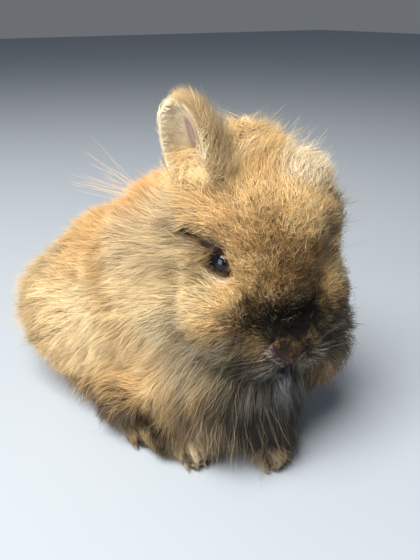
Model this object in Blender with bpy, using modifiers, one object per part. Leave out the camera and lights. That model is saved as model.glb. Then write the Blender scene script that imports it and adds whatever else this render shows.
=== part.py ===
"""A young lionhead rabbit sitting low on its feet with its head up, life size.

Metres, +Z up. The rabbit faces -Y, its own right side is -X. Every solid goes out to the
tips of the coat. The soft forms are blended into one body, which is then parted by thin
cuts along the lines where a person would name the parts.
"""
import math

import bmesh
import bpy
from mathutils import Matrix, Vector

MM = 0.001
GAP = 0.3                      # clearance of every cut, in millimetres
SHARP = 40                     # edges sharper than this stay crisp
FLOOR_LEVEL = 0.8              # where the soles, the claws and the seat are cut flat
VOXEL = 2.0                    # grain of the blended body
TRUNK_PASSES = 30              # smoothing that runs the forms of the trunk into each other
BODY_PASSES = 6                # the same for head, legs and ears, which keep more of their shape
BODY_FACES = 2000              # triangles of the blended body before it is parted

# The trunk, seen from the rabbit's own side: nose to tail along Y.
RUMP = ((-6, 42, 40), (54, 48, 40))
CROUP = ((-1, 33, 53), (41, 40, 48))
LOIN = ((2, 4, 56), (44, 44, 51))
SHOULDERS = ((10, -24, 66), (42, 38, 47))
NECK = ((10, -18, 93), (42, 36, 37))
CHEST = ((20, -57, 46), (39, 32, 38))
BIB = ((12, -68, 35), (33, 24, 27))
BELLY = ((1, 8, 25), (39, 64, 24))
SEAT = ((-2, 56, 16), (33, 24, 17))
TAIL = ((-6, 86, 38), (12, 11, 14))

# The head frame: its origin midway between the eyes, its axes like the rabbit's own.
HEAD_PLACE = (20, -66, 102)
HEAD_NOD = 6                   # nose down
HEAD_TILT = -2                 # crown to the rabbit's right
HEAD_TURN = -12                # nose to the rabbit's right

SKULL = ((0, 8, 4), (30, 31, 31))
BROW = ((0, 1, 8), (23, 20, 21))
BRIDGE = ((0, -11, -10), (17, 16, 17))
MUZZLE = ((0, -15, -27), (18, 17, 14))
WHISKER_PAD = ((8.5, -21, -34), (10, 11.5, 9))
NOSE_ROOT = ((0, -26, -29), (7, 7.5, 7))
CHIN = ((0, -17, -43), (11, 11, 8))
CHEEK = ((22, -1, -24), (21, 24, 22))
JOWL = ((21, 2, -37), (23, 25, 22))
MANE = ((4, 18, -4), (47, 33, 45))
MANE_TOP = ((-3, 24, 28), (29, 19, 22))
RUFF = ((13, -1, -51), (38, 28, 27))

NOSE_PAD = ((0, -32.8, -30.5), (5.4, 3.2, 4.2))
EYE_PLACE = (17.0, -1.2, -0.4)
EYE_RADIUS = 7.2
SOCKET_RADIUS = 7.5
LID_OPENING = ((27.5, -12.5, 3.5), 9.2)

EAR_LENGTH = 38
EAR_WIDTH = 25
EAR_THICKNESS = 12
EAR_CUP = 4.4                  # how far the cup is scooped out, front of the ear plate
# Root in the head frame, then the turns of the ear in degrees: round its own length, back and out.
EAR_RIGHT = ((-18, 19, 27), (-50, -6, -19))
EAR_LEFT = ((15, 21, 25), (75, -70, 2))

# Legs: (end, radius) pairs from the body down. The left forefoot stands a step ahead.
FORELEG_RIGHT = (((-9, -42, 38), 17), ((-13, -52, 16), 10))
FOREFOOT_RIGHT = (((-13, -52, 8.0), 8.2), ((-15, -66, 6.4), 7.2))
FORELEG_LEFT = (((24, -64, 44), 17), ((18, -77, 20), 12.5))
FOREFOOT_LEFT = (((16, -74, 8.2), 9.0), ((15, -87, 6.6), 8.0))
HAUNCH = ((29, 30, 34), (24, 38, 31))
HAUNCH_TURN = 6
HINDFOOT_HEEL = ((34, 24, 8.4), 9.0)
HINDFOOT_TOE = ((29, -38, 6.6), 7.6)
SHANK = ((29, -13, 20), (14, 30, 18))

TOE_RADIUS = 3.1
TOE_REACH = 4.5                # how far the toes stand out in front of the foot
TOE_SPREAD = 3.7               # side to side distance of two toes
TOE_COUNT = 4

CLAW_LENGTH = 4.2
CLAW_RADIUS = 1.1
CLAW_TIP = 0.45
CLAW_SINK = 2.5                # how deep a claw is rooted in its toe

# Where the body is parted: balls, limbs and blocks, each with the part it frees.
EAR_CUT = ((-14.5, -8.5, 12), (14.5, 8.5, 56))
MUZZLE_CUT = ((0, -22, -30), (22, 17, 17))
JAW_CUT = ((0, -14, -48), (16, 17, 10))
HEAD_CUT = ((0, -22, -2), (62, 36, 50))
NECK_CUT = ((0, 22, 4), (64, 42, 54))
HAUNCH_CUT = ((38, 27, 30), (27, 33, 29))
TAIL_CUT = ((-6, 92, 38), (17, 12, 18))
RUMP_CUT = ((-90, 14, -10), (90, 120, 140))
CHEST_CUT = ((-90, -120, -10), (90, -36, 140))
LEG_MARGIN = 1.2               # how far a leg's cut stands off the leg itself
CUT_SIDES = 12
LEG_SIDES = 10

SAND = (0.64, 0.41, 0.18)
GOLD = (0.62, 0.34, 0.11)
CREAM = (0.72, 0.52, 0.28)
FAWN = (0.50, 0.31, 0.15)
TAUPE = (0.26, 0.20, 0.14)
SOOT = (0.10, 0.07, 0.045)
ROSE = (0.24, 0.12, 0.12)
BROWN_EYE = (0.03, 0.015, 0.01)
HORN = (0.30, 0.23, 0.17)
PALE = (0.62, 0.58, 0.52)


def clear_scene():
    for obj in list(bpy.data.objects):
        bpy.data.objects.remove(obj, do_unlink=True)


def collection(name):
    group = bpy.data.collections.new(name)
    bpy.context.scene.collection.children.link(group)
    return group


def material(name, colour, roughness):
    mat = bpy.data.materials.new(name)
    mat.use_nodes = True
    shader = mat.node_tree.nodes["Principled BSDF"]
    shader.inputs["Base Color"].default_value = (*colour, 1)
    shader.inputs["Roughness"].default_value = roughness
    shader.inputs["Metallic"].default_value = 0.0
    return mat


def from_bmesh(name, shape, group):
    mesh = bpy.data.meshes.new(name)
    shape.to_mesh(mesh)
    shape.free()
    obj = bpy.data.objects.new(name, mesh)
    group.objects.link(obj)
    return obj


def ball(name, centre, radii, group, frame=Matrix(), turn=0.0, sides=32):
    """An ellipsoid, its centre and radii in millimetres in the given frame."""
    shape = bmesh.new()
    bmesh.ops.create_uvsphere(shape, u_segments=sides, v_segments=sides // 2, radius=1)
    size = Matrix.Diagonal((*[r * MM for r in radii], 1))
    place = Matrix.Translation(Vector(centre) * MM) @ Matrix.Rotation(math.radians(turn), 4, "Z")
    shape.transform(frame @ place @ size)
    return from_bmesh(name, shape, group)


def limb(name, ends, group, frame=Matrix(), sides=16):
    """A tapering limb: the hull of a ball at each end."""
    shape = bmesh.new()
    for centre, radius in ends:
        place = Matrix.Translation(Vector(centre) * MM) @ Matrix.Scale(radius * MM, 4)
        bmesh.ops.create_uvsphere(
            shape, u_segments=sides, v_segments=sides // 2, radius=1, matrix=frame @ place)
    bmesh.ops.delete(shape, geom=shape.edges, context="EDGES_FACES")
    bmesh.ops.convex_hull(shape, input=shape.verts)
    spare = [vert for vert in shape.verts if not vert.link_faces]
    bmesh.ops.delete(shape, geom=spare, context="VERTS")
    bmesh.ops.recalc_face_normals(shape, faces=shape.faces)
    return from_bmesh(name, shape, group)


def block(name, low, high, group, frame=Matrix()):
    """A box between two corners, in millimetres in the given frame."""
    shape = bmesh.new()
    bmesh.ops.create_cube(shape, size=1)
    low, high = Vector(low), Vector(high)
    size = Matrix.Diagonal((*((high - low) * MM), 1))
    shape.transform(frame @ Matrix.Translation((low + high) / 2 * MM) @ size)
    return from_bmesh(name, shape, group)


def apply(obj, modifier):
    bpy.ops.object.select_all(action="DESELECT")
    bpy.context.view_layer.objects.active = obj
    obj.select_set(True)
    bpy.ops.object.modifier_apply(modifier=modifier.name)


def boolean(obj, other, operation):
    modifier = obj.modifiers.new(operation.lower(), "BOOLEAN")
    modifier.operation = operation
    modifier.solver = "EXACT"
    modifier.object = other
    apply(obj, modifier)


def mirrored(item):
    """A named size of the left side, turned into its twin on the right."""
    (x, y, z), rest = item
    return ((-x, y, z), rest)


def ear_turn(placing):
    """The ear's own frame in the head frame."""
    root, turns = placing
    spin, back, out = [math.radians(angle) for angle in turns]
    turn = Matrix.Rotation(out, 4, "Y") @ Matrix.Rotation(back, 4, "X")
    return Matrix.Translation(Vector(root) * MM) @ turn @ Matrix.Rotation(spin, 4, "Z")


def ear(name, placing, group, frame):
    """A short cupped ear plate, standing on its root, its opening towards -Y before it turns."""
    half = EAR_LENGTH / 2
    plate = ball(name, (0, 0, half), (EAR_WIDTH / 2, EAR_THICKNESS / 2, half + 3), group)
    scoop = ball(
        name + "_scoop",
        (0, -EAR_CUP - EAR_THICKNESS / 2, half + 1),
        (EAR_WIDTH / 2 - 2.2, EAR_THICKNESS - 2.6, half - 2.5),
        group,
    )
    boolean(plate, scoop, "DIFFERENCE")
    bpy.data.objects.remove(scoop, do_unlink=True)
    plate.data.transform(frame @ ear_turn(placing))
    return plate


def blended(name, pieces, passes):
    """The pieces run together into one smooth closed body."""
    bpy.ops.object.select_all(action="DESELECT")
    for piece in pieces:
        piece.select_set(True)
    body = pieces[0]
    bpy.context.view_layer.objects.active = body
    bpy.ops.object.join()
    body.name = name
    remesh = body.modifiers.new("remesh", "REMESH")
    remesh.mode = "VOXEL"
    remesh.voxel_size = VOXEL * MM
    apply(body, remesh)
    smooth = body.modifiers.new("smooth", "SMOOTH")
    smooth.factor = 0.5
    smooth.iterations = passes
    apply(body, smooth)
    return body


def coarsened(body, faces):
    decimate = body.modifiers.new("decimate", "DECIMATE")
    decimate.use_collapse_triangulate = True
    body.data.calc_loop_triangles()
    decimate.ratio = faces / len(body.data.loop_triangles)
    apply(body, decimate)


def copy_of(obj, name, group):
    twin = obj.copy()
    twin.data = obj.data.copy()
    twin.name = name
    group.objects.link(twin)
    return twin


def part_off(body, name, region, grown):
    """Cuts the stretch of the body inside the region free of it, as an object of its own."""
    piece = copy_of(body, name, rabbit)
    boolean(piece, region, "INTERSECT")
    boolean(body, grown, "DIFFERENCE")
    return piece


def part_ball(body, name, centre, radii, frame=Matrix()):
    more = [r + GAP for r in radii]
    region = ball(name + "_region", centre, radii, cutters, frame, sides=CUT_SIDES)
    grown = ball(name + "_region_grown", centre, more, cutters, frame, sides=CUT_SIDES)
    return part_off(body, name, region, grown)


def part_block(body, name, low, high, frame=Matrix()):
    region = block(name + "_region", low, high, cutters, frame)
    low = [c - GAP for c in low]
    high = [c + GAP for c in high]
    grown = block(name + "_region_grown", low, high, cutters, frame)
    return part_off(body, name, region, grown)


def part_limb(body, name, ends):
    fat = [(centre, radius + LEG_MARGIN) for centre, radius in ends]
    fatter = [(centre, radius + GAP) for centre, radius in fat]
    region = limb(name + "_region", fat, cutters, sides=LEG_SIDES)
    grown = limb(name + "_region_grown", fatter, cutters, sides=LEG_SIDES)
    return part_off(body, name, region, grown)


def part_foot(body, name, foot):
    """The foot with its toes, which reach past the foot's own end."""
    (heel, heel_radius), (end, end_radius) = foot
    ahead = (Vector(end) - Vector(heel)).normalized() * TOE_REACH
    return part_limb(body, name, ((heel, heel_radius), (Vector(end) + ahead, end_radius + 1.5)))


def toe_lines(foot):
    """For each toe of a foot, its root and its tip, spread evenly across the foot's end."""
    heel, end = Vector(foot[0][0]), Vector(foot[1][0])
    ahead = end - heel
    ahead.z = 0
    ahead.normalize()
    across = ahead.cross(Vector((0, 0, 1)))
    lines = []
    for number in range(TOE_COUNT):
        side = number - (TOE_COUNT - 1) / 2
        root = end + across * side * TOE_SPREAD
        tip = root + ahead * (TOE_REACH - abs(side)) + across * side * 0.6
        tip.z = TOE_RADIUS + 0.4
        lines.append((root, tip, ahead))
    return lines


def add_claws(foot, foot_name, foot_object):
    """Short horn claws, each rooted in a socket at the tip of its toe."""
    for number, (root, tip, ahead) in enumerate(toe_lines(foot)):
        start = tip + ahead * (TOE_RADIUS - CLAW_SINK)
        point = start + ahead * CLAW_LENGTH
        point.z = FLOOR_LEVEL + CLAW_TIP + GAP
        name = f"claw_{foot_name}_{number + 1}"
        claws.append(limb(name, ((start, CLAW_RADIUS), (point, CLAW_TIP)), rabbit, sides=6))
        socket = limb(
            name + "_socket",
            ((start, CLAW_RADIUS + GAP), (point + ahead, CLAW_TIP + GAP)),
            cutters, sides=6)
        boolean(foot_object, socket, "DIFFERENCE")


def drop_crumbs(obj):
    """Keeps the largest piece of the object; the cuts leave crumbs between a leg and the chest."""
    shape = bmesh.new()
    shape.from_mesh(obj.data)
    left = set(shape.verts)
    pieces = []
    while left:
        piece = set()
        front = [left.pop()]
        while front:
            vert = front.pop()
            piece.add(vert)
            for edge in vert.link_edges:
                other = edge.other_vert(vert)
                if other in left:
                    left.remove(other)
                    front.append(other)
        pieces.append(piece)
    pieces.sort(key=len)
    for crumb in pieces[:-1]:
        bmesh.ops.delete(shape, geom=list(crumb), context="VERTS")
    shape.to_mesh(obj.data)
    shape.free()


def corners_of(obj):
    return [obj.matrix_world @ vert.co for vert in obj.data.vertices]


def finish(obj, base, mat):
    """Gives a part its material, its own centre as origin, and a place on the base."""
    places = corners_of(obj)
    low = Vector([min(place[axis] for place in places) for axis in range(3)])
    high = Vector([max(place[axis] for place in places) for axis in range(3)])
    middle = (low + high) / 2
    obj.data.transform(Matrix.Translation(-middle))
    obj.location = middle
    obj.parent = base
    obj.data.materials.clear()
    obj.data.materials.append(mat)
    bpy.ops.object.select_all(action="DESELECT")
    bpy.context.view_layer.objects.active = obj
    obj.select_set(True)
    bpy.ops.object.shade_smooth_by_angle(angle=math.radians(SHARP))


clear_scene()
rabbit = collection("lionhead_rabbit")
cutters = collection("cutters")

head_frame = Matrix.Translation(Vector(HEAD_PLACE) * MM) @ (
    Matrix.Rotation(math.radians(HEAD_TURN), 4, "Z")
    @ Matrix.Rotation(math.radians(HEAD_TILT), 4, "Y")
    @ Matrix.Rotation(math.radians(HEAD_NOD), 4, "X")
)

# The soft forms: trunk, legs, head, mane and ears, run into one body.
forms = [
    ball(name, *sizes, rabbit)
    for name, sizes in (
        ("rump_form", RUMP),
        ("croup_form", CROUP),
        ("loin_form", LOIN),
        ("shoulder_form", SHOULDERS),
        ("neck_form", NECK),
        ("chest_form", CHEST),
        ("bib_form", BIB),
        ("belly_form", BELLY),
        ("seat_form", SEAT),
        ("tail_form", TAIL),
    )
]
for name, sizes in (("haunch_form", HAUNCH), ("shank_form", SHANK)):
    forms.append(ball(name + "_left", *sizes, rabbit, turn=HAUNCH_TURN))
    forms.append(ball(name + "_right", *mirrored(sizes), rabbit, turn=-HAUNCH_TURN))
forms = [blended("trunk_form", forms, TRUNK_PASSES)]
for name, ends in (
    ("foreleg_form_right", FORELEG_RIGHT),
    ("forefoot_form_right", FOREFOOT_RIGHT),
    ("foreleg_form_left", FORELEG_LEFT),
    ("forefoot_form_left", FOREFOOT_LEFT),
    ("hindfoot_form_left", (HINDFOOT_HEEL, HINDFOOT_TOE)),
    ("hindfoot_form_right", (mirrored(HINDFOOT_HEEL), mirrored(HINDFOOT_TOE))),
):
    forms.append(limb(name, ends, rabbit))
for name, sizes in (
    ("skull_form", SKULL),
    ("brow_form", BROW),
    ("bridge_form", BRIDGE),
    ("muzzle_form", MUZZLE),
    ("nose_root_form", NOSE_ROOT),
    ("pad_form_left", WHISKER_PAD),
    ("pad_form_right", mirrored(WHISKER_PAD)),
    ("chin_form", CHIN),
    ("cheek_form_left", CHEEK),
    ("cheek_form_right", mirrored(CHEEK)),
    ("jowl_form_left", JOWL),
    ("jowl_form_right", mirrored(JOWL)),
    ("mane_form", MANE),
    ("mane_top_form", MANE_TOP),
    ("ruff_form", RUFF),
):
    forms.append(ball(name, *sizes, rabbit, frame=head_frame))
feet = {
    "fore_right": FOREFOOT_RIGHT,
    "fore_left": FOREFOOT_LEFT,
    "hind_right": (mirrored(HINDFOOT_HEEL), mirrored(HINDFOOT_TOE)),
    "hind_left": (HINDFOOT_HEEL, HINDFOOT_TOE),
}
for foot_name, foot in feet.items():
    for number, (root, tip, ahead) in enumerate(toe_lines(foot)):
        line = ((root, TOE_RADIUS), (tip, TOE_RADIUS))
        forms.append(limb(f"toe_form_{foot_name}_{number}", line, rabbit, sides=12))
forms.append(ear("ear_form_right", EAR_RIGHT, rabbit, head_frame))
forms.append(ear("ear_form_left", EAR_LEFT, rabbit, head_frame))
body = blended("trunk", forms, BODY_PASSES)
coarsened(body, BODY_FACES)

# The soles and the seat stand on small flats at one level.
floor = block("floor_cutter", (-150, -150, -40), (150, 150, FLOOR_LEVEL), cutters)
boolean(body, floor, "DIFFERENCE")

# The ears, the eyes in their sockets, and the parts of the face.
parts = {}
for side, placing in (("right", EAR_RIGHT), ("left", EAR_LEFT)):
    ear_frame = head_frame @ ear_turn(placing)
    parts["ear_" + side] = part_block(body, "ear_" + side, EAR_CUT[0], EAR_CUT[1], ear_frame)
eyes = []
for side, sign in (("left", 1), ("right", -1)):
    x, y, z = EYE_PLACE
    (far, front, up), wide = LID_OPENING
    opening = (((sign * x, y, z), SOCKET_RADIUS), ((sign * far, front, up), wide))
    socket = limb("socket_" + side, opening, cutters, frame=head_frame)
    boolean(body, socket, "DIFFERENCE")
    radii = (EYE_RADIUS, EYE_RADIUS, EYE_RADIUS)
    eyes.append(ball("eye_" + side, (sign * x, y, z), radii, rabbit, frame=head_frame, sides=16))
parts["nose"] = part_ball(body, "nose", *NOSE_PAD, frame=head_frame)
parts["muzzle"] = part_ball(body, "muzzle", *MUZZLE_CUT, frame=head_frame)
parts["lower_jaw"] = part_ball(body, "lower_jaw", *JAW_CUT, frame=head_frame)
parts["head"] = part_ball(body, "head", *HEAD_CUT, frame=head_frame)
parts["neck_mane"] = part_ball(body, "neck_mane", *NECK_CUT, frame=head_frame)

# The feet, their claws, and the legs above them.
claws = []
for foot_name, foot in feet.items():
    parts["foot_" + foot_name] = part_foot(body, "foot_" + foot_name, foot)
    add_claws(foot, foot_name, parts["foot_" + foot_name])
parts["foreleg_right"] = part_limb(body, "foreleg_right", FORELEG_RIGHT)
parts["foreleg_left"] = part_limb(body, "foreleg_left", FORELEG_LEFT)
parts["haunch_left"] = part_ball(body, "haunch_left", *HAUNCH_CUT)
parts["haunch_right"] = part_ball(body, "haunch_right", *mirrored(HAUNCH_CUT))

# The tail, the rump and the chest; what is left is the trunk.
parts["tail"] = part_ball(body, "tail", *TAIL_CUT)
parts["rump"] = part_block(body, "rump", *RUMP_CUT)
parts["chest"] = part_block(body, "chest", *CHEST_CUT)
parts["trunk"] = body
for obj in parts.values():
    drop_crumbs(obj)

# Materials, origins, and the base that holds the whole model over its own middle.
looks = {
    "eye": ("dark_brown_eye", BROWN_EYE, 0.08),
    "claw": ("horn_claw", HORN, 0.45),
    "nose": ("rosy_nose", ROSE, 0.5),
    "ear": ("cream_ear_fur", CREAM, 0.9),
    "muzzle": ("sooty_muzzle_fur", SOOT, 0.9),
    "lower_jaw": ("pale_chin_fur", PALE, 0.9),
    "head": ("fawn_face_fur", FAWN, 0.9),
    "neck_mane": ("fawn_mane_fur", FAWN, 0.9),
    "foot": ("golden_foot_fur", GOLD, 0.9),
    "foreleg": ("taupe_leg_fur", TAUPE, 0.9),
    "haunch": ("cream_flank_fur", CREAM, 0.9),
    "tail": ("cream_tail_fur", CREAM, 0.9),
    "rump": ("cream_rump_fur", CREAM, 0.9),
    "chest": ("taupe_chest_fur", TAUPE, 0.9),
    "trunk": ("sandy_back_fur", SAND, 0.9),
}
places = [place for obj in rabbit.objects for place in corners_of(obj)]
low = Vector([min(place[axis] for place in places) for axis in range(3)])
high = Vector([max(place[axis] for place in places) for axis in range(3)])
base = bpy.data.objects.new("lionhead_base", None)
rabbit.objects.link(base)
base.location = (-(low.x + high.x) / 2, -(low.y + high.y) / 2, -low.z)
for kind, (look, colour, roughness) in looks.items():
    mat = material(look, colour, roughness)
    for obj in list(rabbit.objects):
        if obj.type == "MESH" and obj.name.startswith(kind):
            finish(obj, base, mat)
for obj in cutters.objects:
    obj.parent = base
    obj.hide_render = True
    obj.display_type = "WIRE"
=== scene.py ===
import math

import bmesh
import bpy
import numpy as np
from mathutils import Matrix, Vector
from mathutils.kdtree import KDTree


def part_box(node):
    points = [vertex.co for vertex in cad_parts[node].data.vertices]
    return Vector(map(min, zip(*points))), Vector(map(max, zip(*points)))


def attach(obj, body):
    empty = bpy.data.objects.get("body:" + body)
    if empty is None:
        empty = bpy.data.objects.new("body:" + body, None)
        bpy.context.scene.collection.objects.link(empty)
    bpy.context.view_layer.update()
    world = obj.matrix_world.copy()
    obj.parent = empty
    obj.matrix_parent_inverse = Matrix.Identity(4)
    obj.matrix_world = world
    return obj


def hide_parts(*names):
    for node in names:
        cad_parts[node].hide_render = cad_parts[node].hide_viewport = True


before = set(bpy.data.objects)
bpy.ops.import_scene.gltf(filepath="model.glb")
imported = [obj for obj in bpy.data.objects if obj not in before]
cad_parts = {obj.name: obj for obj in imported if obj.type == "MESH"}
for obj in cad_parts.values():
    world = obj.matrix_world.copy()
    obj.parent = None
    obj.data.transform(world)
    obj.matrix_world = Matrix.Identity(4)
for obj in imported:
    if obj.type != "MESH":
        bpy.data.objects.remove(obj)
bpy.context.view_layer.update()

# ---------------------------------------------------------------- the hide
# The hide is one closed skin from the nose to the tail, thin and elastic, grown over the
# whole body. It lies under the coat by the coat's own depth, and opens at the eyes only.
# The body's forms are swollen until their cuts close, and one skin is drawn over them.
MM = 0.001
EARS = ("ear_left", "ear_right")
FLESH = (
    "trunk", "rump", "haunch_left", "haunch_right", "tail", "neck_mane", "chest",
    "foreleg_left", "foreleg_right", "head", "muzzle", "lower_jaw",
    "foot_fore_left", "foot_fore_right", "foot_hind_left", "foot_hind_right",
)
HIDE_GRAIN = 1.45
SEAM_OVERLAP = 0.3


def eye_centre(side):
    low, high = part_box("eye_" + side)
    return (low + high) / 2


# The head's own axes: X to the rabbit's left, -Y out of the nose, Z out of the crown.
HEAD_TURN, HEAD_TILT, HEAD_NOD = -12, -2, 6
EYES_FROM_HEAD = Vector((0, -1.2, -0.4)) * MM
head_turning = (
    Matrix.Rotation(math.radians(HEAD_TURN), 4, "Z")
    @ Matrix.Rotation(math.radians(HEAD_TILT), 4, "Y")
    @ Matrix.Rotation(math.radians(HEAD_NOD), 4, "X")
)
between_eyes = (eye_centre("left") + eye_centre("right")) / 2
head = Matrix.Translation(between_eyes - head_turning @ EYES_FROM_HEAD) @ head_turning
body = Matrix()


def ear_axes(root, spin, back, out):
    """An ear's own axes: Z out of its tip, -Y out of its opening."""
    turning = (
        Matrix.Rotation(math.radians(out), 4, "Y")
        @ Matrix.Rotation(math.radians(back), 4, "X")
        @ Matrix.Rotation(math.radians(spin), 4, "Z")
    )
    return head @ Matrix.Translation(Vector(root) * MM) @ turning


ears = {
    "right": ear_axes((-23.5, 19.5, 28.5), -58, -2, -13),
    "left": ear_axes((12, 21, 25), 75, -68, 0),
}


def deselect():
    if bpy.context.mode != "OBJECT":
        bpy.ops.object.mode_set(mode="OBJECT")
    bpy.ops.object.select_all(action="DESELECT")


def only(obj):
    deselect()
    obj.select_set(True)
    bpy.context.view_layer.objects.active = obj


def apply_modifier(obj, kind, **settings):
    modifier = obj.modifiers.new(kind.lower(), kind)
    for key, value in settings.items():
        setattr(modifier, key, value)
    only(obj)
    bpy.ops.object.modifier_apply(modifier=modifier.name)


def joined(name, objects):
    deselect()
    for obj in objects:
        obj.select_set(True)
    bpy.context.view_layer.objects.active = objects[0]
    bpy.ops.object.join()
    objects[0].name = name
    objects[0].data.name = name
    return objects[0]


def ball(name, centre, radii, axes, segments=32):
    """An ellipsoid with its centre and radii in millimetres along the given axes."""
    deselect()
    bpy.ops.mesh.primitive_uv_sphere_add(segments=segments, ring_count=segments // 2, radius=1)
    obj = bpy.context.object
    obj.name = name
    size = Matrix.Diagonal((*[r * MM for r in radii], 1))
    obj.data.transform(axes @ Matrix.Translation(Vector(centre) * MM) @ size)
    return obj


EAR_FOOT = 6
SAME_POINT = 1e-6
copies = []
for name in FLESH + EARS:
    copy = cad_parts[name].copy()
    copy.data = copy.data.copy()
    copy.parent = None
    bpy.context.scene.collection.objects.link(copy)
    for key in list(copy.keys()):
        del copy[key]
    shape = bmesh.new()
    shape.from_mesh(copy.data)
    bmesh.ops.remove_doubles(shape, verts=shape.verts, dist=SAME_POINT)
    bmesh.ops.recalc_face_normals(shape, faces=shape.faces)
    shape.normal_update()
    for vert in shape.verts:
        vert.co += vert.normal * SEAM_OVERLAP * MM
    if name in EARS:  # only the ear's foot: the ear itself is a finer form of its own
        ear = ears[name.split("_")[1]]
        over = ear @ (Vector((0, 0, EAR_FOOT)) * MM)
        bmesh.ops.bisect_plane(
            shape, geom=shape.verts[:] + shape.edges[:] + shape.faces[:],
            plane_co=over, plane_no=ear.to_3x3() @ Vector((0, 0, 1)), clear_outer=True)
        kept = set(bmesh.ops.convex_hull(shape, input=shape.verts)["geom"])
        loose = [f for f in shape.faces if f not in kept]
        bmesh.ops.delete(shape, geom=loose, context="FACES_ONLY")
    shape.to_mesh(copy.data)
    shape.free()
    copies.append(copy)
# The round forms under the skin: whisker pads, chin, bridge of the nose, lids, skull, crown,
# the thick scruff under the mane, and an elbow.
FILLS = (
    # name, axes, centre, radii
    ("pad_left", head, (8.2, -23.0, -37.0), (11.5, 11.0, 9.5)),
    ("pad_right", head, (-8.2, -23.0, -37.0), (11.5, 11.0, 9.5)),
    ("chin", head, (0, -18.0, -47.5), (13.0, 12.5, 8.5)),
    ("nose_bridge", head, (0, -24.5, -26.5), (9.5, 9.0, 9.0)),
    ("lid_left", head, (17.4, -1.8, 0), (10.2, 11.2, 11.2)),
    ("lid_right", head, (-17.4, -1.8, 0), (10.2, 11.2, 11.2)),
    ("skull_fill", head, (0, 8, 4), (29.5, 30.5, 30.5)),
    ("crown_fill", head, (-3, 24, 28), (28.5, 18.5, 21.5)),
    ("mane_fill", head, (4, 18, -4), (46, 32, 44)),
    ("elbow_fill", body, (-31, -47, 9), (9, 14, 8)),
)
for name, axes, centre, radii in FILLS:
    copies.append(ball(name, centre, radii, axes))
hide = joined("hide", copies)
hide.data.materials.clear()
apply_modifier(hide, "REMESH", mode="VOXEL", voxel_size=HIDE_GRAIN * MM)


def keep_largest(obj):
    """Deletes every loose piece but the largest."""
    shape = bmesh.new()
    shape.from_mesh(obj.data)
    left = set(shape.verts)
    pieces = []
    while left:
        piece = []
        front = [left.pop()]
        while front:
            vert = front.pop()
            piece.append(vert)
            for edge in vert.link_edges:
                other = edge.other_vert(vert)
                if other in left:
                    left.remove(other)
                    front.append(other)
        pieces.append(piece)
    pieces.sort(key=len)
    for piece in pieces[:-1]:
        bmesh.ops.delete(shape, geom=piece, context="VERTS")
    shape.to_mesh(obj.data)
    shape.free()


keep_largest(hide)

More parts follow.
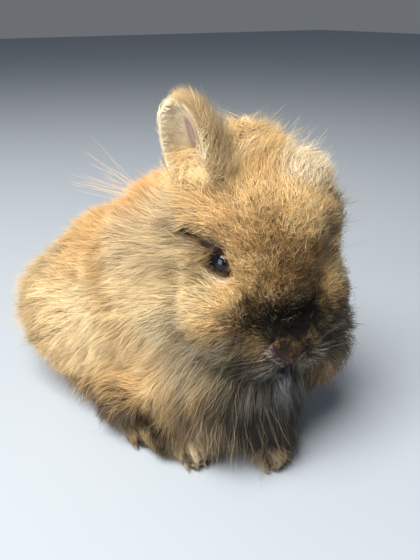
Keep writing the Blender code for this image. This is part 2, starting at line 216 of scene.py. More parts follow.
# ------------------------------------------------- how the coat lies on the hide
# Each row says how the hair grows round one place of the hide: which piece of the coat it
# belongs to, its axes and place, the way it lies, the coat's depth over the hide, how far its
# tips stand past that, the hair's length and reach in millimetres, its curl, its width and
# how many grow on a square millimetre.
FACE, CHEEK, MANE, RUFF, CHEST = "face", "cheek", "mane", "ruff", "chest"
BACK, RUMP, FLANK, SHOULDER, FOOT = "back", "rump", "flank", "shoulder", "foot"
SPLIT = (FACE, CHEEK, MANE, BACK, FLANK, SHOULDER, CHEST)
GROWTH = [
    # piece, axes, both sides, place, lie, depth, over, length, reach, curl, width, per mm2
    (FACE, head, 0, (0, -32, -26), (0, 0.5, 1.0), 1.0, 0.2, 2.6, 6, 0.4, 0.20, 9.0),
    (FACE, head, 0, (0, -30, -16), (0, 0.40, 1.0), 2.2, 0.4, 4.6, 8, 1.6, 0.19, 8.0),
    (FACE, head, 0, (0, -25, -3), (0, 0.60, 1.0), 3.2, 0.4, 6.0, 9, 2.2, 0.19, 7.4),
    (FACE, head, 0, (0, -20, 12), (0, 0.80, 0.9), 4.0, 0.5, 7.4, 10, 2.4, 0.20, 6.6),
    (FACE, head, 0, (0, -10, 25), (0, 0.90, 0.7), 4.8, 1.5, 9.0, 11, 2.2, 0.20, 6.0),
    (FACE, head, 1, (12, -24, -10), (0.4, 0.6, 0.8), 2.4, 0.4, 5.0, 8, 1.7, 0.19, 8.0),
    (FACE, head, 1, (14, -18, 6), (0.3, 0.8, 0.8), 3.0, 0.4, 5.8, 8, 1.7, 0.19, 7.6),
    (FACE, head, 1, (22, -10, 14), (0.5, 0.9, 0.6), 3.4, 1.2, 6.8, 8, 1.5, 0.20, 7.0),
    (FACE, head, 1, (16, -4, 24), (0.4, 0.9, 0.7), 4.8, 1.5, 9.0, 10, 1.7, 0.20, 6.0),
    (FACE, head, 1, (24, -14, -10), (0.7, 0.8, -0.4), 2.6, 0.3, 5.8, 7, 0.7, 0.19, 7.4),
    (FACE, head, 1, (23, -7, 1), (0.6, 0.9, -0.1), 1.3, 0.0, 3.2, 6, 0.2, 0.17, 8.0),
    (FACE, head, 1, (18, -22, -18), (0.9, 0.7, -0.1), 2.4, 0.3, 5.2, 8, 1.0, 0.19, 8.0),
    (FACE, head, 1, (11, -31, -33), (1.0, 0.5, -0.15), 1.7, 0.4, 6.0, 7, 0.2, 0.16, 8.5),
    (FACE, head, 1, (12, -28, -41), (0.9, 0.5, -0.6), 2.2, 0.6, 7.5, 7, 0.3, 0.17, 7.5),
    (FACE, head, 0, (0, -29, -50), (0, 0.2, -1.0), 1.8, 0.2, 4.5, 7, 0.3, 0.18, 7.0),
    (FACE, head, 0, (-24.5, -3, 8.4), (-0.7, 0.9, 0.1), 2.6, -2.0, 2.6, 4, 0.2, 0.16, 7.0),
    (FACE, head, 0, (-30, 2.5, 9.8), (-0.6, 1.0, 0.1), 4.0, -3.0, 3.0, 4, 0.2, 0.16, 6.0),
    (FACE, head, 0, (-35, 9, 11.4), (-0.5, 1.0, 0.1), 5.5, -4.0, 3.6, 4, 0.2, 0.18, 5.0),
    (FACE, head, 0, (-27, -2, 16.5), (-0.7, 0.9, 0.0), 4.0, 1.2, 8.0, 7, 1.4, 0.20, 7.0),
    (FACE, head, 0, (27, -1, 14), (0.6, 0.9, 0.1), 4.0, 1.8, 9.0, 8, 1.4, 0.20, 6.0),
    (FACE, head, 0, (20, -13, 7), (0.5, 0.6, 0.3), 3.2, 2.5, 8.5, 7, 1.8, 0.20, 7.0),
    (CHEEK, head, 0, (-34, 5, 18.5), (-0.7, 0.9, 0.0), 6.0, 1.6, 12, 9, 1.4, 0.21, 5.0),
    (CHEEK, head, 0, (34, 6, 16), (0.5, 0.9, 0.1), 6.5, 1.0, 14, 10, 1.4, 0.22, 4.0),
    (CHEEK, head, 1, (31, 0, -2), (0.5, 1.0, -0.2), 4.6, 0.6, 10, 9, 1.0, 0.22, 5.0),
    (CHEEK, head, 1, (32, -8, -18), (0.6, 0.9, -0.5), 4.8, 0.6, 11, 11, 1.2, 0.22, 4.6),
    (CHEEK, head, 1, (35, 0, -36), (0.4, 0.8, -0.8), 7.0, 1.0, 17, 14, 1.0, 0.23, 3.8),
    (CHEEK, head, 1, (24, -18, -34), (0.8, 0.6, -0.5), 3.8, 2.0, 11, 10, 1.2, 0.21, 5.0),
    (RUFF, head, 1, (17, -16, -54), (0.3, 0.1, -1.0), 7.0, 1.0, 22, 13, 0.6, 0.24, 3.4),
    (RUFF, head, 0, (0, -18, -60), (0, 0.0, -1.0), 6.0, 1.0, 21, 12, 0.6, 0.24, 3.4),
    (MANE, head, 1, (40, 14, 10), (0.5, 1.0, 0.0), 9, 1.5, 20, 16, 0.8, 0.25, 2.4),
    (MANE, head, 1, (40, 20, -15), (0.4, 1.0, -0.5), 10, 1.5, 22, 18, 0.8, 0.25, 2.3),
    (MANE, head, 1, (38, 28, -40), (0.3, 1.0, -1.0), 10, 1.5, 23, 18, 0.8, 0.26, 2.1),
    (MANE, head, 1, (28, 8, 26), (0.9, 0.5, 0.5), 7.5, 4.0, 19, 11, 1.0, 0.22, 3.4),
    (MANE, head, 0, (0, 6, 36), (0.5, 0.7, 0.5), 8.0, 4.5, 20, 10, 1.1, 0.21, 3.8),
    (MANE, head, 0, (0, 22, 42), (1.0, 0.3, 0.2), 10, 3.5, 21, 14, 1.1, 0.21, 3.7),
    (MANE, head, 1, (22, 24, 36), (1.0, 0.2, 0.3), 10, 3.0, 23, 13, 1.0, 0.22, 3.0),
    (MANE, head, 0, (0, 46, 24), (0, 1.0, 0.2), 10, 1.5, 22, 18, 0.8, 0.28, 1.8),
    (BACK, body, 0, (0, -5, 112), (0, 1.0, -0.05), 8.0, 0.8, 17, 26, 0.7, 0.26, 2.4),
    (BACK, body, 0, (-8, 30, 100), (0, 1.0, -0.2), 8.0, 0.8, 17, 26, 0.7, 0.25, 2.6),
    (BACK, body, 0, (-14, 60, 85), (0, 0.9, -0.6), 9.0, 1.2, 20, 26, 0.8, 0.26, 2.3),
    (RUMP, body, 0, (-14, 82, 60), (0, 0.7, -0.7), 10, 2.0, 22, 26, 0.8, 0.28, 1.7),
    (RUMP, body, 0, (-14, 92, 30), (0, 0.4, -1.0), 9.0, 2.0, 21, 26, 0.8, 0.30, 1.5),
    (RUMP, body, 0, (-55, 62, 50), (-0.5, 0.8, -0.3), 11, 5.0, 22, 24, 0.9, 0.26, 2.4),
    (RUMP, body, 0, (38, 62, 50), (0.4, 0.8, -0.3), 10, 2.0, 22, 24, 0.8, 0.30, 1.4),
    (FLANK, body, 0, (-50, 15, 78), (-0.3, 0.9, -0.5), 8.5, 1.0, 19, 24, 0.8, 0.25, 2.6),
    (FLANK, body, 0, (-60, 30, 45), (-0.3, 0.8, -0.7), 10, 2.5, 22, 24, 0.9, 0.26, 2.4),
    (FLANK, body, 0, (-54, 20, 18), (-0.4, 0.5, -0.9), 8.5, 2.0, 20, 20, 0.8, 0.26, 2.5),
    (FLANK, body, 0, (40, 15, 78), (0.3, 0.9, -0.5), 8.5, 1.0, 19, 24, 0.8, 0.30, 1.5),
    (FLANK, body, 0, (46, 30, 45), (0.2, 0.8, -0.7), 10, 1.5, 22, 24, 0.8, 0.32, 1.4),
    (FLANK, body, 0, (42, 20, 18), (0.2, 0.6, -0.9), 8.5, 1.5, 19, 20, 0.8, 0.32, 1.4),
    (SHOULDER, body, 0, (-38, -20, 85), (-0.3, 0.8, -0.6), 9.0, 1.0, 19, 20, 1.1, 0.23, 2.9),
    (SHOULDER, body, 0, (-40, -18, 52), (-0.3, 0.6, -0.8), 9.5, 1.5, 20, 20, 0.9, 0.25, 2.6),
    (SHOULDER, body, 0, (-42, -20, 24), (-0.3, 0.5, -0.9), 7.0, 1.0, 16, 15, 0.8, 0.24, 2.8),
    (SHOULDER, body, 0, (48, -20, 80), (0.3, 0.8, -0.6), 9.0, 1.0, 19, 20, 0.8, 0.30, 1.6),
    (SHOULDER, body, 0, (46, -20, 50), (0.2, 0.6, -0.8), 9.5, 1.0, 20, 20, 0.8, 0.30, 1.6),
    (SHOULDER, body, 0, (40, -20, 20), (0.2, 0.3, -1.0), 7.0, 1.0, 17, 16, 0.8, 0.30, 1.6),
    (CHEST, body, 0, (-20, -68, 42), (-0.3, 0.0, -1.0), 7.0, 1.5, 22, 15, 0.5, 0.23, 3.0),
    (CHEST, body, 0, (10, -92, 40), (0, -0.1, -1.0), 8.0, 1.5, 23, 17, 0.5, 0.24, 2.6),
    (CHEST, body, 0, (40, -75, 40), (0.3, 0.0, -1.0), 8.5, 1.0, 20, 18, 0.5, 0.30, 1.4),
    (CHEST, body, 0, (2, -80, 20), (0, -0.1, -1.0), 5.0, 2.0, 18, 12, 0.5, 0.23, 2.8),
    (CHEST, body, 0, (-20, -55, 26), (0, -0.3, -1.0), 4.0, 2.0, 20, 10, 0.5, 0.23, 2.8),
    (CHEST, body, 0, (11, -79, 26), (0, -0.2, -1.0), 4.5, 2.0, 20, 10, 0.5, 0.23, 2.8),
    (CHEST, body, 0, (-36, -44, 22), (-0.4, 0.2, -0.9), 5.0, 0.8, 11, 10, 0.6, 0.22, 3.2),
    (CHEST, body, 0, (0, -20, 5), (0, 0.8, -0.2), 4.0, 0.0, 9.0, 24, 0.3, 0.42, 0.35),
    (CHEST, body, 0, (-4, 30, 4), (0, 0.8, -0.2), 4.0, 0.0, 9.0, 24, 0.3, 0.42, 0.35),
    (FOOT, body, 0, (-21, -54, 13), (0, -0.8, -0.7), 1.8, 0.2, 6.0, 7, 0.4, 0.24, 2.6),
    (CHEST, body, 0, (-31, -48, 8), (-0.4, -0.4, -1.0), 2.4, 0.8, 9.0, 9, 0.6, 0.23, 3.4),
    (FOOT, body, 0, (-22, -68, 6), (0, -1.0, -0.3), 1.2, 0.2, 4.2, 9, 0.3, 0.22, 3.4),
    (FOOT, body, 0, (9, -78, 13), (0, -0.8, -0.7), 1.8, 0.2, 6.0, 7, 0.4, 0.24, 2.6),
    (FOOT, body, 0, (8, -89, 6), (0, -1.0, -0.3), 1.2, 0.2, 4.2, 9, 0.3, 0.22, 3.4),
    (FOOT, body, 0, (-38, -42, 7), (0, -1.0, -0.3), 1.4, 0.2, 5.0, 12, 0.3, 0.22, 3.4),
    (FOOT, body, 0, (-41, -26, 7), (0, -1.0, -0.3), 2.0, 0.2, 7.0, 10, 0.3, 0.26, 2.2),
    (FOOT, body, 0, (-42, 5, 7), (0, -1.0, -0.2), 2.0, 0.2, 7.0, 9, 0.3, 0.36, 0.5),
    (FOOT, body, 0, (22, -42, 6), (0, -1.0, -0.3), 1.4, 0.2, 5.0, 9, 0.3, 0.30, 1.4),
    (FOOT, body, 0, (24, -20, 7), (0, -1.0, -0.3), 2.0, 0.2, 7.0, 9, 0.3, 0.34, 0.7),
    (FOOT, body, 0, (27, 5, 7), (0, -1.0, -0.2), 2.0, 0.2, 7.0, 9, 0.3, 0.36, 0.5),
    (MANE, ears["right"], 0, (0, 3, 5), (0.2, 0.1, 1.0), 4.5, 5.0, 17, 9, 0.9, 0.23, 3.2),
    (MANE, ears["right"], 0, (0, -9, 3), (0.0, -0.1, 1.0), 4.5, 5.5, 15, 7, 0.8, 0.21, 4.0),
    (MANE, ears["right"], 0, (11, -3, 2), (0.3, 0.4, 1.0), 4.5, 9.0, 19, 8, 0.9, 0.22, 3.8),
    (MANE, ears["left"], 0, (0, 2, 5), (0, 0.2, 1.0), 5.0, 3.0, 17, 9, 0.8, 0.25, 2.4),
]
LEFT_FROM, LEFT_WIDER, LEFT_SPARSER = 20, 1.2, 0.62
rows = []
for piece, axes, both, place, lie, *sizes in GROWTH:
    for sign in (1, -1) if both else (1,):
        place_here = axes @ (Vector((sign * place[0], place[1], place[2])) * MM)
        lie_here = axes.to_3x3() @ Vector((sign * lie[0], lie[1], lie[2]))
        sizes_here = list(sizes)
        if both and sign * place[0] > LEFT_FROM:
            sizes_here[-2:] = sizes[-2] * LEFT_WIDER, sizes[-1] * LEFT_SPARSER
        rows.append((piece, *place_here, *lie_here.normalized(), *sizes_here))
growth_kinds = sorted({row[0] for row in rows})
growth_kind = np.array([growth_kinds.index(row[0]) for row in rows])
growth = np.array([row[1:] for row in rows])
LIE = slice(3, 6)
DEPTH, OVER, LENGTH, REACH, CURL, WIDTH, DENSITY = range(6, 13)
ROW_SOFTNESS, ROW_FALL = 0.02, 3


def grown(points):
    """The growth at each point, blended from the rows round it, and its nearest row's kind."""
    away = np.linalg.norm(points[:, None] - growth[None, :, :3], axis=2)
    near = away / (growth[None, :, REACH] * MM)
    weight = 1 / (near**2 + ROW_SOFTNESS) ** ROW_FALL
    weight /= weight.sum(axis=1, keepdims=True)
    return weight @ growth, growth_kind[near.argmin(axis=1)]


def points_of(mesh):
    found = np.empty(len(mesh.vertices) * 3)
    mesh.vertices.foreach_get("co", found)
    return found.reshape(-1, 3)


def normals_of(mesh):
    found = np.empty(len(mesh.vertices) * 3)
    mesh.vertex_normals.foreach_get("vector", found)
    return found.reshape(-1, 3)


def move_points(mesh, points):
    mesh.vertices.foreach_set("co", points.ravel())
    mesh.update()


def ends_of(mesh):
    found = np.empty(len(mesh.edges) * 2, np.int32)
    mesh.edges.foreach_get("vertices", found)
    return found.reshape(-1, 2)


def evened(values, ends, passes):
    """Each point's value drawn halfway to its neighbours' mean, several times over."""
    count = np.bincount(ends.ravel(), minlength=len(values))[:, None]
    for _ in range(passes):
        total = np.zeros_like(values)
        np.add.at(total, ends[:, 0], values[ends[:, 1]])
        np.add.at(total, ends[:, 1], values[ends[:, 0]])
        values = values + (total / np.maximum(count, 1) - values) * 0.5
    return values


# The hide sinks under the tips of the coat by the coat's depth, a step at a time.
SINKING_STEPS = 5
FORM_EVENING, DEPTH_EVENING = 3, 10
ends = ends_of(hide.data)
points = evened(points_of(hide.data), ends, FORM_EVENING)
move_points(hide.data, points)
depth = grown(points)[0][:, DEPTH:DEPTH + 1] * MM
depth = evened(depth, ends, DEPTH_EVENING)
for _ in range(SINKING_STEPS):
    points = points - normals_of(hide.data) * depth / SINKING_STEPS
    points = evened(points, ends, 1)
    move_points(hide.data, points)

# Folds of the skin: behind the right eye, a slighter one behind the left, the cleft of the
# lip and the mouth. Each is laid on the hide in short straight runs; no hair crosses it.
FOLDS = [
    # from, to, half width, depth, bare of hair within, which sides
    ((21.0, -6.0, 7.4), (28.0, -2.5, 9.2), 1.8, 2.0, 1.2, (-1,)),
    ((28.0, -2.5, 9.2), (33.0, 1.0, 9.9), 2.4, 3.6, 1.7, (-1,)),
    ((33.0, 1.0, 9.9), (39.0, 10.0, 12.0), 2.4, 4.0, 1.3, (-1,)),
    ((22.0, -5.0, 7.6), (29.0, 0.0, 9.4), 1.4, 1.0, 0.3, (1,)),
    ((-2.0, -34.0, -36.5), (1.4, -29.0, -45.0), 1.4, 1.4, 1.9, (1,)),
    ((0.0, -28.0, -45.5), (8.5, -26.0, -47.0), 1.2, 1.4, 0.8, (-1, 1)),
]
FOLD_RUNS, FOLD_TALL = 4, 7
FOLD_OPENS = head.to_3x3() @ Vector((-0.3, -0.8, 0.6))


def from_axes(axes, local):
    out = np.array(axes)
    return (local * MM) @ out[:3, :3].T + out[:3, 3]


def tree_of(points):
    tree = KDTree(len(points))
    for number, point in enumerate(points.tolist()):
        tree.insert(point, number)
    tree.balance()
    return tree


def nearest(tree, points):
    find = tree.find
    return np.array([find(point)[1] for point in points.tolist()], np.int64)


clefts = []
hide_tree = tree_of(points)
outward = normals_of(hide.data)
for start, end, half, sink, bare, sides in FOLDS:
    for sign in sides:
        mirror = (sign, 1, 1)
        line = np.linspace(np.array(start) * mirror, np.array(end) * mirror, FOLD_RUNS + 1)
        found = nearest(hide_tree, from_axes(head, line))
        for one, other in zip(found, found[1:]):
            over = outward[one] + outward[other] + np.array(FOLD_OPENS)
            over /= np.linalg.norm(over)
            clefts.append((points[one], points[other], half, sink, bare, over))
fold_count = len(clefts)
# The toes' partings run back from between each two claws.
FEET = ("fore_left", "fore_right", "hind_left", "hind_right")
TOE_LINE, TOE_LINE_HALF, TOE_LINE_SINK, TOE_LINE_BARE = Vector((0, 10, 7.5)), 1.3, 2.8, 0.5
TOE_LINE_OPENS = np.array((0, -0.6, 0.8))
toe_lines = []
for foot in FEET:
    toes = []
    for toe in range(1, 5):
        low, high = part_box(f"claw_{foot}_{toe}")
        toes.append((low + high) / 2 / MM)
    for one, other in zip(toes, toes[1:]):
        middle = (one + other) / 2
        toe_lines.append((np.array(middle), np.array(middle + TOE_LINE)))
for start, end in toe_lines:
    clefts.append((
        start * MM, end * MM, TOE_LINE_HALF, TOE_LINE_SINK, TOE_LINE_BARE, TOE_LINE_OPENS))


def from_line(points, begin, end):
    """Each point's shortest way from the line between two places."""
    span = end - begin
    share = np.clip((points - begin) @ span / max(span @ span, 1e-12), 0, 1)
    return points - begin - share[:, None] * span


sunk = np.zeros(len(points))
for begin, end, half, sink, bare, over in clefts:
    away = np.linalg.norm(from_line(points, begin, end), axis=1) / MM
    sunk = np.maximum(sunk, sink * np.exp(-((away / half) ** 2)))
move_points(hide.data, points - outward * sunk[:, None] * MM)

# The lids lie on the eyeball round an upright oval opening, with a narrow bare margin. At
# its edge the skin turns in over the ball, and it closes behind in a socket that is hidden.
EYE_RADIUS = 7.2
LID_WIDE, LID_HIGH, LID_REACH = 5.1, 6.2, 12
LID_EDGE, LID_THICK, LID_SWELLS = 0.45, 1.5, 0.5
LID_FULL_TO, LID_FADES = 1.05, 0.65
LID_MIDDLE, FRONT_FROM = Vector((0, 0, 5)), 1.0
FINER_WITHIN = (15, 12)
SOCKET_RINGS = ((0.985, EYE_RADIUS - 0.02), (0.9, EYE_RADIUS - 2))
SOCKET_SHALLOW, SOCKET_BACK = 0.5, Vector((0, 0, 1))
EYE_LOOK = (0.80, -0.56, 0.16)
eye_axes = {}
for side, sign in (("left", 1), ("right", -1)):
    looks = head.to_3x3() @ Vector((sign * EYE_LOOK[0], EYE_LOOK[1], EYE_LOOK[2]))
    turning = looks.to_track_quat("Z", "Y").to_matrix().to_4x4()
    eye_axes[side] = Matrix.Translation(eye_centre(side)) @ turning


def local_to(axes, points):
    """The points' places along the axes, in millimetres."""
    into = np.array(axes.inverted())
    return (points @ into[:3, :3].T + into[:3, 3]) / MM


def smooth_step(value):
    value = np.clip(value, 0, 1)
    return value * value * (3 - 2 * value)


def oval(local):
    return np.sqrt((local[:, 0] / LID_WIDE) ** 2 + (local[:, 1] / LID_HIGH) ** 2)


for side in ("left", "right"):
    axes = eye_axes[side]
    for reach in FINER_WITHIN:
        shape = bmesh.new()
        shape.from_mesh(hide.data)
        centre = axes @ (LID_MIDDLE * MM)
        fine = [e for e in shape.edges if (e.verts[0].co - centre).length < reach * MM]
        bmesh.ops.subdivide_edges(shape, edges=fine, cuts=1, use_grid_fill=True)
        bmesh.ops.triangulate(shape, faces=[f for f in shape.faces if len(f.verts) > 4])
        shape.to_mesh(hide.data)
        shape.free()
    local = local_to(axes, points_of(hide.data))
    ring = oval(local)
    outside = np.linalg.norm(local[:, :2], axis=1)
    swelling = smooth_step((ring - 1) / LID_SWELLS)
    radius = EYE_RADIUS + LID_EDGE + (LID_THICK - LID_EDGE) * swelling
    lid = np.sqrt(np.maximum(radius**2 - outside**2, 0.1))
    near = (local[:, 2] > FRONT_FROM) & (outside < LID_REACH)
    share = np.where(near, 1 - smooth_step((ring - LID_FULL_TO) / LID_FADES), 0)
    local[:, 2] += (lid - local[:, 2]) * share
    move_points(hide.data, from_axes(axes, local))
    shape = bmesh.new()
    shape.from_mesh(hide.data)
    into = axes.inverted()

    def place_in_oval(co):
        spot = into @ co / MM
        return spot, math.hypot(spot.x / LID_WIDE, spot.y / LID_HIGH)

    gone = []
    for face in shape.faces:
        spot, away = place_in_oval(face.calc_center_median())
        if away < 1 and spot.z > FRONT_FROM:
            gone.append(face)
    bmesh.ops.delete(shape, geom=gone, context="FACES")
    rim = [
        tuple(e.verts) for e in shape.edges
        if e.is_boundary and (e.verts[0].co - eye_centre(side)).length < LID_REACH * MM
    ]
    for vert in {v for pair in rim for v in pair}:
        spot, away = place_in_oval(vert.co)
        spot.x, spot.y = spot.x / away, spot.y / away
        flat = spot.x**2 + spot.y**2
        spot.z = math.sqrt((EYE_RADIUS + LID_EDGE) ** 2 - flat)
        vert.co = axes @ (spot * MM)
    for share, radius in SOCKET_RINGS:
        inner = {}
        for vert in (v for pair in rim for v in pair):
            if vert not in inner:
                spot, away = place_in_oval(vert.co)
                spot.x, spot.y = spot.x * share / away, spot.y * share / away
                deep = radius**2 - spot.x**2 - spot.y**2
                spot.z = math.sqrt(max(deep, SOCKET_SHALLOW))
                inner[vert] = shape.verts.new(axes @ (spot * MM))
        for one, other in rim:
            shape.faces.new((one, other, inner[other], inner[one]))
        rim = [(inner[one], inner[other]) for one, other in rim]
    socket = shape.verts.new(axes @ (SOCKET_BACK * MM))
    for one, other in rim:
        shape.faces.new((one, other, socket))
    bmesh.ops.triangulate(shape, faces=[f for f in shape.faces if len(f.verts) > 4])
    bmesh.ops.recalc_face_normals(shape, faces=shape.faces)
    if shape.calc_volume(signed=True) < 0:
        bmesh.ops.reverse_faces(shape, faces=shape.faces)
    shape.to_mesh(hide.data)
    shape.free()
keep_largest(hide)
only(hide)
bpy.ops.object.shade_smooth()

# ---------------------------------------------------------------- the ears
# Each ear is a cupped sheet of gristle with skin on both faces. The right one stands with its
# opening out to the side; the left one is laid back in the mane. Both are rooted in the hide.
EAR_LENGTH, EAR_WIDTH, EAR_THICK, EAR_ROOT = 35, 21, 1.6, 7
EAR_POINTED, EAR_BLUNT, EAR_NARROWEST = 2.9, 0.55, 0.07
EAR_CUPPED, EAR_OPENS, EAR_LEANS, EAR_DIPS = 112, 50, 1.6, 1.5


def ear_form(name, axes):
    """One ear: a grid whose u runs round the cup and v up it, given its thickness."""
    deselect()
    bpy.ops.mesh.primitive_grid_add(x_subdivisions=20, y_subdivisions=18, size=2)
    obj = bpy.context.object
    obj.name = name
    flat = points_of(obj.data)
    u, v = flat[:, 0], (flat[:, 1] + 1) / 2
    towards_tip = (1 - (np.maximum(v - 0.5, 0) / 0.5) ** EAR_POINTED) ** EAR_BLUNT
    widest = np.where(v < 0.5, 0.5 + 0.5 * np.sin(np.pi * v), towards_tip)
    half = EAR_WIDTH / 2 * np.maximum(widest, EAR_NARROWEST)
    wrap = np.radians(EAR_CUPPED - EAR_OPENS * v)
    angle = u * wrap
    curve = half / np.sin(np.minimum(wrap, np.pi / 2))
    shape = np.stack([
        curve * np.sin(angle),
        curve * (np.cos(angle) - 0.5 - 0.5 * np.cos(wrap)) + EAR_LEANS * np.sin(np.pi * v),
        -EAR_ROOT + (EAR_LENGTH + EAR_ROOT) * v - EAR_DIPS * u * u * (1 - v),
    ], axis=1)
    move_points(obj.data, from_axes(axes, shape))
    apply_modifier(obj, "SOLIDIFY", thickness=EAR_THICK * MM, offset=0)
    apply_modifier(obj, "SUBSURF", levels=1, render_levels=1)
    shape = bmesh.new()
    shape.from_mesh(obj.data)
    bmesh.ops.recalc_face_normals(shape, faces=shape.faces)
    shape.to_mesh(obj.data)
    shape.free()
    bpy.ops.object.shade_smooth()
    return obj


ear_skins = {side: ear_form("ear_skin_" + side, axes) for side, axes in ears.items()}

# ---------------------------------------------------------------- the markings and painted shading
# Sandy all over, warm gold along the back, cream over the rump and the cheeks, grey beige
# under the throat, brown flecks on the brow and a soot smudge over the nose. Painted shade
# darkens the throat, chest, elbow, belly, far cheek, whisker pads, creases and toe partings;
# painted light brightens the far mane, the far side of the forehead and the crown by the ear.


def tone(red, green, blue):
    """A colour from 0 to 255 as the paint maker gives it, made linear."""
    return tuple(((c / 255 + 0.055) / 1.055) ** 2.4 for c in (red, green, blue))


SAND = tone(202, 168, 119)
EAR_GOLD, EAR_CREAM, EAR_MAUVE = tone(252, 220, 168), tone(255, 240, 208), tone(186, 158, 150)
MARKS_AND_PAINTED_SHADING = [
    # axes, both sides, place, radii, colour, strength
    (body, 0, (-8, 10, 112), (60, 75, 42), tone(210, 170, 116), 0.95),
    (body, 0, (-52, 55, 50), (46, 50, 56), tone(198, 172, 130), 0.95),
    (body, 0, (-47, -2, 56), (28, 34, 30), tone(246, 222, 178), 0.95),
    # Painted shade low on the near flank and under the belly.
    (body, 0, (-48, -25, 10), (46, 54, 20), tone(86, 77, 63), 0.95),
    # The chest's grey brown, darkened further as painted shade.
    (body, 0, (4, -85, 28), (58, 45, 38), tone(64, 53, 41), 0.95),
    (body, 0, (-34, -52, 30), (18, 22, 17), tone(126, 110, 86), 0.8),
    # The elbow's dark fur, deepened further as painted shade.
    (body, 0, (-33, -48, 13), (14, 16, 14), tone(50, 40, 29), 0.93),
    (body, 0, (-35, -43, 17), (9, 10, 9), tone(40, 32, 23), 0.9),
    # The lower chest's grey brown, darkened further as painted shade.
    (body, 0, (-12, -82, 19), (20, 14, 12), tone(56, 47, 37), 0.8),
    (body, 0, (3, -88, 32), (12, 14, 13), tone(54, 46, 37), 0.8),
    (body, 0, (-40, -36, 3), (17, 26, 13), tone(160, 138, 106), 0.9),
    (body, 0, (-22, -64, 5), (13, 17, 14), tone(198, 184, 156), 0.9),
    (body, 0, (8, -84, 5), (14, 18, 13), tone(172, 154, 128), 0.9),
    (head, 0, (0, 28, 34), (48, 30, 34), tone(228, 194, 140), 0.9),
    # The far mane's pale cream, made paler still as painted light.
    (head, 0, (24, 14, 31), (24, 24, 20), tone(255, 238, 206), 0.9),
    (head, 1, (42, 20, 8), (26, 30, 34), tone(198, 178, 144), 0.85),
    (head, 1, (36, -2, -14), (20, 22, 20), tone(204, 182, 140), 0.9),
    (head, 1, (34, 0, -38), (26, 30, 22), tone(168, 154, 126), 0.85),
    (body, 0, (-33, -38, 54), (20, 24, 28), tone(234, 204, 156), 0.85),
    (body, 0, (-33, -36, 84), (18, 22, 22), tone(236, 214, 172), 0.8),
    # The throat's grey beige, darkened further as painted shade.
    (head, 0, (0, -14, -60), (44, 30, 22), tone(50, 48, 45), 0.95),
    (body, 0, (-23, -76, 33), (15, 18, 16), tone(116, 102, 84), 0.8),
    (head, 1, (25, -19, -33), (17, 17, 15), tone(152, 144, 124), 0.85),
    # Painted shade over the far cheek.
    (head, 0, (30, -14, -34), (16, 18, 20), tone(108, 94, 76), 0.8),
    (head, 0, (0, -22, 12), (34, 24, 22), tone(174, 138, 90), 0.9),
    # Painted light over the far side of the forehead.
    (head, 0, (12, -13, 20), (18, 14, 14), tone(246, 212, 156), 0.9),
    (head, 0, (-14, -19, 3), (10, 10, 9), tone(236, 200, 142), 0.85),
    (head, 0, (-21, -17, -8), (7, 8, 7), tone(222, 188, 134), 0.8),
    (head, 0, (-41, 8, -15), (12, 14, 14), tone(238, 216, 174), 0.8),
    (head, 0, (-44, 5, -33), (12, 14, 12), tone(206, 190, 156), 0.7),
    # Painted shade in the hollow of the crease above the near eye and under its brow.
    (head, 0, (-24.5, -6, 11), (8, 9, 6), tone(132, 104, 74), 0.7),
    (head, 0, (-21, -7, 18), (8, 8, 6), tone(144, 114, 76), 0.55),
    (head, 0, (-30, -20, -36), (7, 8, 7), tone(98, 86, 68), 0.75),
    (head, 0, (-12, -25, -45), (10, 9, 6), tone(156, 150, 138), 0.75),
    # Painted light on the crown beside the near ear, where the ear's shadow falls.
    (head, 0, (-15, 10, 38), (12, 12, 14), tone(250, 224, 180), 0.85),
    (head, 0, (0, -26, -6), (27, 16, 14), tone(176, 142, 94), 0.6),
    (head, 0, (-1, -27, -16), (33, 19, 14), tone(70, 54, 35), 0.85),
    (head, 0, (10, -22, -8), (12, 10, 9), tone(96, 74, 48), 0.5),
    (head, 0, (4, -28, -20), (12, 14, 10), tone(13, 10, 7), 0.88),
    (head, 0, (0, -29, -20), (27, 17, 12), tone(13, 10, 7), 0.96),
    # The sooty whisker pads, darkened further as painted shade.
    (head, 1, (13, -27, -37), (18, 15, 12.5), tone(60, 55, 49), 0.95),
    (head, 0, (-14, -28, -27), (7, 8, 6), tone(142, 120, 88), 0.75),
    (head, 0, (0, -30, -51), (17, 11, 7), tone(128, 127, 128), 1.0),
    (head, 0, (1, -28, -48.5), (10, 9, 4.0), tone(158, 160, 166), 1.0),
    (head, 1, (5.5, -32, -40), (6.5, 8, 6.5), tone(146, 138, 126), 0.85),
    (body, 0, (-22, -14, 117), (22, 24, 15), tone(192, 148, 98), 0.9),
]
# Painted shade along the partings between the toes.
for start, end in toe_lines:
    MARKS_AND_PAINTED_SHADING.append((body, 0, (start + end) / 2, (1.5, 8, 6.5), tone(62, 46, 34), 0.9))
for side in ("left", "right"):
    inner = 1 if side == "right" else -1
    MARKS_AND_PAINTED_SHADING += [
        (eye_axes[side], 0, (-inner * 1.5, 7.4, 5), (8, 4.0, 5), tone(124, 100, 90), 0.9),
        (eye_axes[side], 0, (0, 5.6, 6), (7.0, 2.2, 4), tone(44, 33, 28), 1.0),
        (eye_axes[side], 0, (inner * 1.5, -7.6, 5), (7.0, 2.8, 4), tone(226, 212, 190), 0.95),
    ]
SOFT_EDGE = 0.45
# The edges of the marks are ragged and the colour clouds over, by waves of several sizes.
RAGGED, CLOUDS = ((14, 3, 0.14), (5, 4, 0.11), (2.5, 5, 0.07)), ((24, 23, 0.07), (9, 24, 0.06))
# The hair along the crease behind each eye is painted dark, as shade in the crease.
CREASE_RUNS, CREASE_REACH, CREASE_VARIES, CREASE_SHADE = 4 * FOLD_RUNS, 1.35, 0.4, tone(50, 38, 31)
